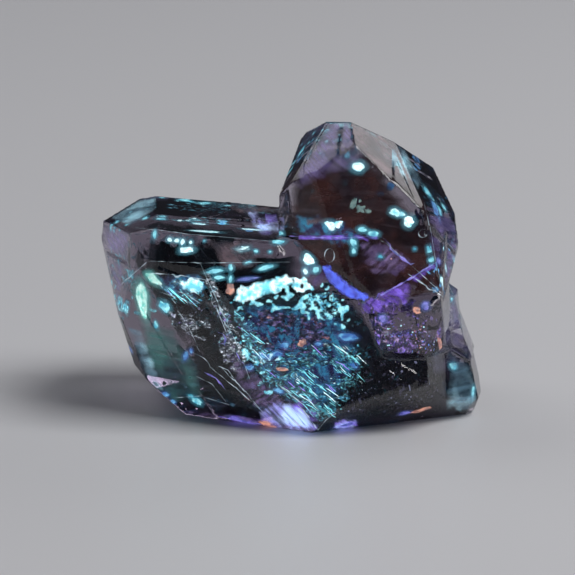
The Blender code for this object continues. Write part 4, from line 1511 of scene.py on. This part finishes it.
def side_inclusions() -> tuple[SideInclusions, ...]:
    """Lists what lies under the facets of the back, the two ends and the top."""
    return (
        SideInclusions(
            "back", 180.0, 14.0,
            (*strewn(31, (392, 262), (16, 9), 9, (8, 5)), *strewn(32, (222, 214), (10, 10), 5, (5, 5)),
             *strewn(33, (330, 330), (34, 18), 8, (6, 4))),
            (*strewn(34, (250, 352), (30, 16), 7, (8, 5)), *strewn(35, (214, 240), (14, 14), 4, (6, 8))),
            (Patch(((290, 300), (330, 284), (392, 292), (420, 330), (396, 352), (340, 346), (300, 330)),
                   1.3 * MM, 0.5 * MM, ragged=7.0, gaps=0.42, step=1.2),
             Patch(((200, 200), (232, 196), (240, 220), (222, 232), (204, 226)), 0.6 * MM, 0.2 * MM,
                   ragged=4.0,
                   gaps=0.42, step=2.0)),
            (Patch(((166, 318), (196, 312), (236, 330), (276, 372), (282, 394), (256, 390), (222, 366),
                    (182, 346)),
                   1.4 * MM, 0.6 * MM, ragged=8.0, step=1.5, fade=6.0),),
            (Patch(((100, 300), (140, 280), (168, 330), (160, 400), (118, 410)), 0.5 * MM, ragged=4.0,
                   fade=14.0,
                   step=2.0),
             Patch(((390, 250), (470, 252), (476, 300), (440, 330), (396, 300)), 0.5 * MM, ragged=4.0,
                   fade=14.0,
                   step=2.0),
             Patch(((180, 180), (220, 150), (250, 190), (236, 236), (196, 232)), 0.5 * MM, ragged=4.0,
                   fade=12.0,
                   step=2.0))),
        SideInclusions(
            "right", 90.0, 14.0,
            (*strewn(41, (306, 244), (10, 10), 4, (5, 6)), *strewn(42, (330, 330), (24, 14), 6, (7, 4))),
            strewn(43, (276, 300), (20, 20), 6, (6, 6)),
            (Patch(((276, 236), (300, 226), (324, 240), (318, 268), (286, 268)), 0.7 * MM, 0.3 * MM,
                   ragged=5.0,
                   gaps=0.42, step=2.0),),
            (Patch(((290, 330), (340, 318), (378, 344), (362, 388), (306, 390)), 1.2 * MM, 0.5 * MM,
                   ragged=5.0,
                   step=2.0),),
            (Patch(((214, 330), (262, 322), (330, 326), (364, 352), (350, 404), (290, 420), (226, 404)),
                   0.32 * MM, ragged=4.0, fade=16.0, step=2.0),)),
        SideInclusions(
            "left", -90.0, 14.0,
            (*strewn(51, (240, 270), (22, 10), 6, (8, 5)), *strewn(52, (262, 352), (18, 18), 4, (5, 8))),
            strewn(53, (226, 350), (24, 18), 5, (6, 6)),
            (Patch(((214, 300), (262, 284), (310, 304), (320, 350), (268, 364), (222, 344)), 1.1 * MM,
                   0.5 * MM,
                   ragged=6.0, gaps=0.40, step=2.0),)),
        SideInclusions(
            "top", 0.0, 80.0,
            (*strewn(61, (190, 250), (24, 8), 5, (6, 5)),),
            strewn(63, (240, 250), (24, 8), 3, (5, 5)),
            (Patch(((150, 232), (206, 226), (250, 240), (240, 262), (176, 262)), 0.9 * MM, 0.4 * MM,
                   ragged=6.0,
                   gaps=0.48, step=2.0),)),
    )


@dataclass
class SpeckledGrains:
    """Loose grains: flakes in the heart, bright streaks, dim glints, the bitumen crust, the lump's sparkle;
    their glow paints the glints.
    """

    heart: tuple[Patch, ...] = (
        Patch(((228, 312), (262, 300), (345, 312), (362, 335), (358, 372), (342, 404), (318, 418),
               (292, 402), (262, 384), (240, 350)), 1.4 * MM, 0.8 * MM, step=2.0, ragged=4.0, gaps=0.5),
    )
    streaks: tuple[Patch, ...] = (
        Patch(((306, 346), (352, 344), (370, 366), (364, 386), (338, 378), (312, 362)), 0.9 * MM, 0.3 * MM,
              step=2.0, gaps=0.40),
        Patch(((264, 372), (310, 368), (338, 390), (342, 412), (318, 418), (290, 402)), 0.9 * MM, 0.3 * MM,
              step=2.0, gaps=0.40),
        Patch(((228, 290), (240, 300), (262, 340), (284, 384), (270, 388), (240, 340)), 0.5 * MM, 0.3 * MM,
              step=2.0, gaps=0.45),
        Patch(((160, 290), (172, 290), (200, 303), (196, 308), (176, 300)), 0.6 * MM, 0.3 * MM, step=2.0),
    )
    crust: tuple[Patch, ...] = (
        Patch(((352, 350), (372, 352), (400, 364), (436, 360), (442, 376), (430, 402), (398, 414), (356, 414),
               (340, 404), (350, 380)), 0.9 * MM, 0.5 * MM, step=2.0, ragged=3.0),
        Patch(((172, 300), (206, 298), (224, 312), (222, 328), (196, 330), (178, 318)), 1.2 * MM,
              0.6 * MM, step=2.0, ragged=4.0, gaps=0.4),
        Patch(((206, 336), (230, 340), (244, 384), (252, 408), (232, 402), (214, 368)), 1.6 * MM,
              0.6 * MM, step=2.0, ragged=4.0, gaps=0.5),
    )
    glints: tuple[Patch, ...] = (
        Patch(((174, 298), (206, 298), (226, 318), (248, 362), (256, 400), (236, 404), (214, 366),
               (190, 330)),
              1.1 * MM, 0.6 * MM, step=2.0, ragged=4.0, gaps=0.45),
        Patch(((344, 352), (372, 354), (400, 366), (430, 364), (432, 392), (398, 408), (350, 408)),
              0.8 * MM, 0.5 * MM, step=2.0, ragged=4.0, gaps=0.5),
    )
    lump: tuple[Patch, ...] = (
        Patch(((372, 324), (404, 318), (440, 330), (438, 348), (412, 356), (384, 348)), 0.4 * MM, 0.3 * MM,
              step=2.0, ragged=2.0),
    )

    def build(self, solid: CrystalSolid) -> list[bpy.types.Object]:
        """Builds each field of grains."""
        fields = (
            GrainField("heart_flakes", Slot.OIL, GrainFinish("heart_flakes", HEART_STOPS, 0.9), self.heart,
                       40.0, 0.16 * MM, 0.35 * MM, (1.0, 0.6, 0.16), (0, 10, 0), 50.0, seed=3),
            GrainField("bright_streaks", Slot.OIL, GrainFinish("bright_streaks", STREAK_STOPS, 1.5),
                       self.streaks, 30.0, 0.85 * MM, 0.25 * MM, (1.0, 0.055, 0.045), (0, 40, 0), 8.0,
                       seed=5),
            GrainField("dim_glints", Slot.PAINTED_GLINT, GrainFinish("dim_glints", GLINT_STOPS, 0.9), self.glints,
                       22.0, 0.13 * MM, 0.5 * MM, (1.0, 0.35, 0.15), (0, 55, 0), 30.0, seed=13),
            GrainField("bitumen_crust", Slot.BITUMEN, GrainFinish("bitumen_crust", CRUST_STOPS, 0.5),
                       self.crust, 46.0, 0.20 * MM, 0.3 * MM, (1.0, 0.8, 0.35), seed=7),
            GrainField("lump_sparkle", Slot.PAINTED_GLINT, GrainFinish("lump_sparkle", LUMP_STOPS, 0.9),
                       self.lump, 46.0, 0.10 * MM, 0.3 * MM, (1.0, 0.8, 0.2), seed=11),
        )
        return [mount(field_.build(solid)) for field_ in fields]


@dataclass
class HealedVeils:
    """Soft coloured veils: lavender and violet in the upper crystal, teal behind the rough heart."""

    lavender: tuple[Patch, ...] = (
        Patch(((358, 242), (388, 242), (417, 262), (402, 274), (364, 266)), 0.8 * MM, 0.3 * MM, ragged=1.5,
              fade=4.0),
        Patch(((364, 266), (392, 268), (412, 262), (398, 276), (372, 275)), 0.7 * MM, ragged=1.5, fade=3.0,
              step=1.0),
        Patch(((300, 262), (322, 264), (330, 282), (316, 290), (298, 276)), 0.7 * MM, 0.3 * MM, ragged=3.0,
              fade=5.0),
        Patch(((222, 362), (250, 366), (286, 398), (280, 414), (258, 410), (238, 390)), 0.8 * MM, 0.4 * MM,
              ragged=4.0, fade=9.0),
        Patch(((184, 409), (240, 415), (312, 428), (320, 434), (306, 436), (240, 427), (190, 418)), 0.3 * MM,
              ragged=1.0, fade=2.5, step=1.0),
        Patch(((218, 322), (226, 326), (243, 362), (247, 384), (238, 378), (226, 348)), 1.0 * MM, 0.5 * MM,
              ragged=4.0, fade=7.0),
    )
    violet: tuple[Patch, ...] = (
        Patch(((358, 304), (376, 296), (408, 278), (440, 258), (443, 264), (412, 286), (410, 304), (384, 314),
               (362, 314)), 0.7 * MM, 0.3 * MM, ragged=2.0, fade=5.0, step=1.0),
        Patch(((297, 234), (340, 235), (378, 234), (380, 240), (340, 241), (298, 240)), 0.6 * MM, fade=1.5,
              step=1.0),
        Patch(((288, 404), (300, 400), (314, 412), (320, 424), (306, 418), (292, 412)), 0.6 * MM, 0.3 * MM,
              ragged=3.0, fade=4.0, step=1.0),
        Patch(((226, 414), (260, 418), (262, 425), (232, 423)), 0.4 * MM, ragged=1.5, fade=2.5, step=1.0),
        Patch(((332, 422), (356, 419), (360, 427), (336, 431)), 0.4 * MM, ragged=1.5, fade=2.5, step=1.0),
    )
    pale: tuple[Patch, ...] = (
        Patch(((258, 412), (272, 402), (290, 402), (306, 410), (320, 430), (304, 433), (282, 430),
               (260, 424)),
              0.45 * MM, 0.2 * MM, ragged=2.0, fade=4.0, step=1.0),
        Patch(((332, 423), (344, 417), (358, 418), (358, 427), (336, 431)), 0.35 * MM, ragged=1.5, fade=3.0,
              step=1.0),
        Patch(((240, 206), (284, 214), (286, 232), (262, 238), (250, 224)), 0.5 * MM, 0.2 * MM, ragged=3.0,
              fade=7.0),
    )
    teal: tuple[Patch, ...] = (
        Patch(((232, 304), (262, 300), (330, 308), (352, 326), (362, 356), (348, 392), (320, 414), (286, 404),
               (252, 372), (238, 336)), 1.9 * MM, 0.7 * MM, ragged=6.0, fade=9.0, step=2.0),
        Patch(((150, 273), (176, 272), (204, 276), (210, 290), (190, 300), (164, 294)), 0.9 * MM, 0.4 * MM,
              ragged=4.0, fade=5.0),
        Patch(((288, 212), (330, 216), (352, 224), (366, 242), (338, 248), (300, 236)), 0.9 * MM, 0.3 * MM,
              ragged=4.0, fade=7.0),
    )

    def build(self, solid: CrystalSolid) -> list[bpy.types.Object]:
        """Builds the veils of each colour."""
        kinds = (
            ("veil_lavender", HazeFinish("veil_lavender", (0.30, 0.22, 0.42), (0.12, 0.08, 0.20), 0.5,
                                         alpha_low=0.0, alpha_high=0.62, lines=0.75, line_turn_deg=38.0,
                                         line_scale=3800.0, mottle_scale=900.0), self.lavender),
            ("veil_violet", HazeFinish("veil_violet", (0.27, 0.16, 0.72), (0.10, 0.05, 0.32), 0.8,
                                       alpha_low=0.0, alpha_high=0.95, lines=0.75, line_turn_deg=-35.0,
                                       line_scale=3600.0, mottle_scale=1100.0), self.violet),
            ("veil_pale", HazeFinish("veil_pale", (0.55, 0.72, 1.0), (0.20, 0.14, 0.52), 1.0, alpha_low=0.0,
                                     alpha_high=0.95, lines=0.8, line_turn_deg=-45.0, line_scale=2800.0),
             self.pale),
            ("veil_teal", HazeFinish("veil_teal", (0.05, 0.28, 0.44), (0.05, 0.03, 0.16), 0.65,
                                     alpha_low=0.10, alpha_high=0.80, lines=0.1, mottle_scale=1500.0),
                                     self.teal),
        )
        return build_kinds(solid, kinds)


@dataclass
class ZonesSheenAndShade:
    """Faint coloured hazes, several as wide as their facet: lavender, blue and rose ones just under the
    facets paint the facets' sheen, reflections and highlights; the teal one is a coloured zone; the brown and
    dark sheets lie deep inside, the dark one as painted shade.
    """

    # Painted sheen: a lavender haze under the facets stands in for their reflected light.
    lavender: tuple[Patch, ...] = (
        Patch(((286, 190), (300, 120), (345, 118), (364, 150), (332, 176)), 0.16 * MM, facet=(322, 145),
              fade=3.0),
        Patch(((284, 186), (296, 158), (330, 150), (364, 154), (356, 170), (326, 178), (304, 190)), 0.3 * MM,
              ragged=3.0, fade=12.0),
        Patch(((98, 210), (132, 222), (132, 268), (128, 350), (98, 290)), 0.16 * MM, facet=(114, 250),
              fade=5.0),
        Patch(((425, 200), (445, 196), (460, 236), (452, 300), (430, 250)), 0.18 * MM, facet=(444, 235),
              fade=3.0,
              step=1.0),
        Patch(((444, 290), (462, 300), (474, 340), (466, 352), (448, 344)), 0.3 * MM, ragged=3.0, fade=6.0),
    )
    # Painted reflections and highlights: a pale blue haze under facets, edges and the top rim.
    blue: tuple[Patch, ...] = (
        Patch(((100, 214), (104, 196), (170, 196), (156, 210), (130, 228)), 0.16 * MM, facet=(125, 212),
              fade=3.0,
              step=1.0),
        Patch(((376, 140), (394, 142), (412, 162), (415, 182), (400, 178), (382, 160)), 0.22 * MM, ragged=2.5,
              fade=5.0, step=1.0),
        Patch(((384, 136), (402, 142), (424, 182), (418, 192), (394, 172), (382, 154)), 0.24 * MM,
              facet=(400, 165), fade=5.0, step=1.0),
        Patch(((328, 120), (352, 120), (374, 130), (376, 137), (354, 131), (332, 126)), 0.2 * MM, ragged=1.0,
              fade=3.0, step=1.0),
        Patch(((122, 322), (142, 330), (166, 392), (150, 392)), 0.2 * MM, ragged=2.0, fade=4.0),
        Patch(((448, 350), (470, 352), (484, 392), (476, 412), (444, 412)), 0.35 * MM, ragged=3.0, fade=8.0),
    )
    teal: tuple[Patch, ...] = (
        Patch(((138, 322), (176, 326), (200, 370), (206, 402), (170, 404), (142, 360)), 0.4 * MM, ragged=2.0,
              fade=10.0),
    )
    # Painted reflection: a grey-pink tint under the facets, which also hides the pale floor seen through
    # them.
    rose: tuple[Patch, ...] = (
        Patch(((204, 238), (250, 238), (262, 268), (226, 274)), 0.35 * MM, ragged=3.0, fade=8.0),
        Patch(((210, 200), (284, 204), (284, 216), (240, 214)), 0.2 * MM, ragged=1.0, fade=5.0),
        Patch(((350, 118), (420, 150), (428, 212), (350, 150)), 0.16 * MM, facet=(386, 166), fade=0.0),
        Patch(((305, 218), (330, 216), (336, 224), (306, 227)), 0.6 * MM, ragged=1.5, fade=3.0, step=1.0),
    )
    # A dark brown sheet deep in the upper crystal.
    brown: tuple[Patch, ...] = (
        Patch(((292, 170), (340, 160), (368, 150), (400, 190), (432, 240), (440, 290), (400, 300), (340, 300),
               (300, 260), (284, 220)), 3.4 * MM, 0.5 * MM, ragged=3.0, fade=10.0, step=3.0),
    )
    # Painted shade: a dark sheet deep inside, behind most of what lies sealed in.
    dark: tuple[Patch, ...] = (
        Patch(((140, 236), (200, 240), (270, 246), (300, 270), (350, 300), (372, 350), (440, 352), (446, 384),
               (424, 404), (330, 420), (250, 410), (206, 396), (182, 340), (150, 300)), 5.2 * MM, 0.7 * MM,
              ragged=5.0, fade=16.0, step=3.0),
    )

    def build(self, solid: CrystalSolid) -> list[bpy.types.Object]:
        """Builds the zones."""
        kinds = (
            # Painted shade: the dark sheet deep inside.
            ("painted_shade_dark", HazeFinish("painted_shade_dark", (0.010, 0.020, 0.026), (0.004, 0.004, 0.006), 0.5,
                                     alpha_low=0.7, alpha_high=0.98), self.dark),
            # Painted sheen in lavender under the facets.
            ("painted_sheen_lavender", HazeFinish("painted_sheen_lavender", (0.28, 0.23, 0.46), (0.09, 0.07, 0.20), 0.45,
                                         lines=0.75, line_turn_deg=-35.0, line_scale=4200.0), self.lavender),
            # Painted reflections and highlights in pale blue.
            ("painted_reflection_blue", HazeFinish("painted_reflection_blue", (0.42, 0.68, 0.76), (0.14, 0.28, 0.38), 0.6), self.blue),
            ("zone_teal", HazeFinish("zone_teal", (0.08, 0.26, 0.25), (0.02, 0.08, 0.10), 0.4), self.teal),
            # Painted reflection in grey-pink.
            ("painted_reflection_rose", HazeFinish("painted_reflection_rose", (0.24, 0.17, 0.19), (0.08, 0.07, 0.09), 0.35, lines=0.6,
                                     line_turn_deg=-40.0, alpha_low=0.45, alpha_high=0.92, line_scale=4200.0),
             self.rose),
            ("zone_brown", HazeFinish("zone_brown", (0.070, 0.029, 0.025), (0.018, 0.009, 0.010), 0.6,
                                      alpha_low=0.6, alpha_high=0.95), self.brown),
        )
        return build_kinds(solid, kinds)


@dataclass
class PetroleumVeil:
    """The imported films, crumpled and with ragged rims, as bitumen fills the two old fractures."""

    films: bpy.types.Object
    voxel: float = 0.14 * MM
    crumple: float = 0.22 * MM
    crumple_size: float = 0.9 * MM
    rim: float = 1.3 * MM
    rag_size: float = 0.8 * MM

    def build(self, solid: CrystalSolid) -> list[bpy.types.Object]:
        """Builds the one piece that stands for the films."""
        made = remeshed(self.films.data, "petroleum_veil", self.voxel)
        self._crumple(made)
        for vertex in made.vertices:
            vertex.co = solid.drawn_in(vertex.co)
        made.materials.append(VeilFinish().make())
        return [mount(new_object("petroleum_veil", made))]

    def _crumple(self, mesh: bpy.types.Mesh) -> None:
        """Moves the sheet to and fro, and marks how far each point lies from its rim.

        Args:
            mesh: the remeshed films.
        """
        source = bmesh.new()
        source.from_mesh(self.films.data)
        bmesh.ops.dissolve_limit(source, angle_limit=0.02, verts=source.verts, edges=source.edges)
        sides = [tuple(vert.co.copy() for vert in edge.verts) for edge in source.edges]
        source.free()
        edge = mesh.attributes.new(EDGE_ATTRIBUTE, "FLOAT", "POINT")
        values = []
        for vertex in mesh.vertices:
            place = vertex.co.copy()
            ragged = 0.55 + 0.45 * noise.noise(place / self.rag_size)
            away = min(rim_distance(place, a, b) for a, b in sides)
            values.append(min(1.0, away / (self.rim * ragged)))
            vertex.co = place + noise.noise_vector(place / self.crumple_size) * self.crumple
        edge.data.foreach_set("value", values)


def ring(centre: Pixel, radii: Pixel) -> tuple[Pixel, ...]:
    """Gives the spots round a bubble, from its top round to its top again."""
    angles = [math.tau * k / RING_SIDES for k in range(RING_SIDES + 1)]
    return tuple((centre[0] + radii[0] * math.sin(a), centre[1] - radii[1] * math.cos(a)) for a in angles)


def threads(*rows: tuple) -> tuple[Thread, ...]:
    """Makes threads from rows of width in pixels, depth in millimetres and the spots on the way.

    Args:
        rows: one row a thread.

    Returns:
        The threads.
    """
    return tuple(Thread(tuple(path), width, depth_mm * MM) for width, depth_mm, *path in rows)


@dataclass
class CrackGlints:
    """Fine cracks whose bright lines are painted glints, drawn as thin glowing threads."""

    pale: tuple[Thread, ...] = threads(
        (1.0, 0.12, (131, 227), (188, 234), (282, 242)),
        (0.9, 0.12, (147, 261), (200, 263), (290, 262)),
        (1.3, 0.15, (200, 263), (214, 294), (227, 322), (240, 352), (250, 380)),
        (2.6, 0.3, (214, 292), (220, 310), (228, 323)),
        (1.6, 0.3, (275, 382), (290, 394), (306, 407)),
        (1.4, 0.3, (211, 368), (236, 388), (263, 412)),
        (2.0, 0.35, (172, 290), (186, 294), (201, 304)),
        (1.6, 0.45, (168, 294), (184, 300), (196, 306)),
        (1.4, 0.2, (424, 203), (431, 232), (436, 263), (444, 294)),
        (1.8, 0.25, (408, 274), (426, 286), (444, 297)),
        # Bright rims round two bubbles, painted glints too.
        (1.6, 0.45, *ring((329.5, 255.5), (5.0, 7.0))),
        (1.8, 0.35, *ring((422.5, 233.5), (4.0, 4.0))),
        (1.3, 0.2, (117, 288), (147, 262)),
        (1.6, 0.4, (160, 292), (197, 304)),
        (1.2, 0.5, (166, 287), (190, 300)),
        (2.0, 0.4, (150, 273), (176, 275), (206, 280)),
        (1.8, 0.5, (152, 276), (163, 288), (176, 304)),
        (1.4, 0.6, (172, 280), (190, 288), (204, 299)),
        (1.1, 0.7, (176, 306), (190, 330), (200, 352)),
        (1.8, 0.4, (206, 280), (214, 304), (228, 336)),
        (1.4, 0.5, (222, 368), (246, 392), (264, 414)),
        (1.8, 0.3, (286, 404), (298, 416), (309, 431)),
        (1.8, 0.4, (296, 402), (308, 416), (318, 430)),
        (1.6, 0.3, (282, 412), (290, 422), (298, 430)),
        (1.2, 0.3, (317, 431), (326, 420), (336, 412)),
        (1.2, 0.5, (190, 351), (204, 358), (214, 370)),
        (1.0, 0.4, (196, 376), (212, 384), (226, 402)),
        (1.2, 0.3, (172, 398), (200, 396), (230, 405)),
        (2.4, 0.4, (218, 366), (228, 370), (234, 378)),
        (3.0, 0.3, (220, 318), (232, 330)),
        (1.2, 0.2, (381, 239), (412, 266), (443, 294)),
    )
    violet: tuple[Thread, ...] = threads(
        (3.4, 0.5, (289, 236), (330, 238), (378, 237)),
        (4.0, 0.5, (379, 236), (398, 252), (414, 264)),
        (3.0, 0.5, (372, 300), (408, 280), (440, 260)),
        (2.6, 0.3, (218, 416), (240, 421), (262, 424)),
        (3.2, 0.5, (219, 330), (224, 336), (227, 345)),
        (2.4, 0.5, (204, 372), (216, 378), (226, 390)),
        (2.2, 0.4, (236, 352), (241, 362), (243, 371)),
    )

    def build(self, solid: CrystalSolid) -> list[bpy.types.Object]:
        """Builds the pale and violet cracks, whose glow paints glints."""
        # Painted glints: pale ones along cracks and round two bubbles, violet ones along cracks.
        kinds = (("crack_glints_pale", GlowFinish("crack_glint_pale", (0.20, 0.24, 0.28), (0.75, 0.85, 0.95), 0.6),
                  self.pale),
                 ("crack_glints_violet", VIOLET_GLOW, self.violet))
        return build_kinds(solid, kinds)


@dataclass(frozen=True)
class SoftPanel:
    """A soft studio light: a square panel that looks at the crystal."""

    name: str
    place: Vector
    size: float
    watts: float
    colour: Rgb = (1.0, 1.0, 1.0)

    def make(self, aim: Vector) -> bpy.types.Object:
        """Builds the light, turned to a point."""
        data = bpy.data.lights.new(self.name, "AREA")
        data.shape = "SQUARE"
        data.size = self.size
        data.energy = self.watts
        data.color = self.colour
        light = bpy.data.objects.new(self.name, data)
        turn = (self.place - aim).to_track_quat("Z", "Y")
        light.matrix_world = Matrix.Translation(self.place) @ turn.to_matrix().to_4x4()
        bpy.context.scene.collection.objects.link(light)
        return light


@dataclass
class Studio:
    """Plain pale floor, soft light and a dim surround."""

    view: Viewpoint
    floor_radius: float = 0.6
    floor_drop: float = 0.02 * MM
    floor_colour: Rgb = (0.62, 0.62, 0.64)
    surround: Rgb = (0.035, 0.035, 0.045)
    bounces: int = 24

    def build(self) -> None:
        """Builds the floor, lights, surround and camera."""
        self.view.make_camera()
        bm = bmesh.new()
        bmesh.ops.create_circle(bm, cap_ends=True, segments=96, radius=self.floor_radius,
                                matrix=Matrix.Translation((0, 0, -self.floor_drop)))
        floor = new_object("studio_floor", mesh_from(bm, "studio_floor", smooth=False))
        material = bpy.data.materials.new("pale_floor")
        material.use_nodes = True
        set_inputs(material.node_tree.nodes["Principled BSDF"], Base_Color=rgba(self.floor_colour),
                   Roughness=0.45)
        floor.data.materials.append(material)
        world = bpy.data.worlds.new("dim_surround")
        world.use_nodes = True
        world.node_tree.nodes["Background"].inputs["Color"].default_value = rgba(self.surround)
        bpy.context.scene.world = world
        aim = Vector((0, 0, 10)) * MM
        for panel in self.panels():
            panel.make(aim)
        scene = bpy.context.scene
        scene.view_settings.view_transform = "Standard"
        scene.cycles.max_bounces = self.bounces
        scene.cycles.transmission_bounces = self.bounces
        scene.cycles.transparent_max_bounces = self.bounces
        scene.cycles.glossy_bounces = self.bounces // 2

    def panels(self) -> list[SoftPanel]:
        """Lists the soft panels."""
        return [
            SoftPanel("back_left", Vector((-0.36, 0.27, 0.40)), 0.40, 0.6),
            SoftPanel("back_right", Vector((0.34, 0.42, 0.27)), 0.30, 0.4),
            SoftPanel("front_right", Vector((0.33, -0.10, 0.50)), 0.35, 3.0),
        ]


def main() -> None:
    """Builds every sub-assembly in order."""
    logging.basicConfig(level=logging.INFO, format="%(name)s: %(message)s")
    noise.seed_set(NOISE_SEED)
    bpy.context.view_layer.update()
    view = Viewpoint()
    solid = CrystalSolid(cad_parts[NODE_NAME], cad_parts[FILMS_NAME], view)
    Studio(view).build()
    crystal = ClearCrystal(solid).build()
    mount(crystal)
    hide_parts(NODE_NAME)
    veil, = PetroleumVeil(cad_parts[FILMS_NAME]).build(solid)
    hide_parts(FILMS_NAME)
    for part in (OilPockets(), OilFilms(), CrazedFilms(), SpeckledGrains(), HealedVeils(), ZonesSheenAndShade(),
                 CrackGlints(),
                 *side_inclusions()):
        part.build(solid)


if __name__ == "__main__":
    main()
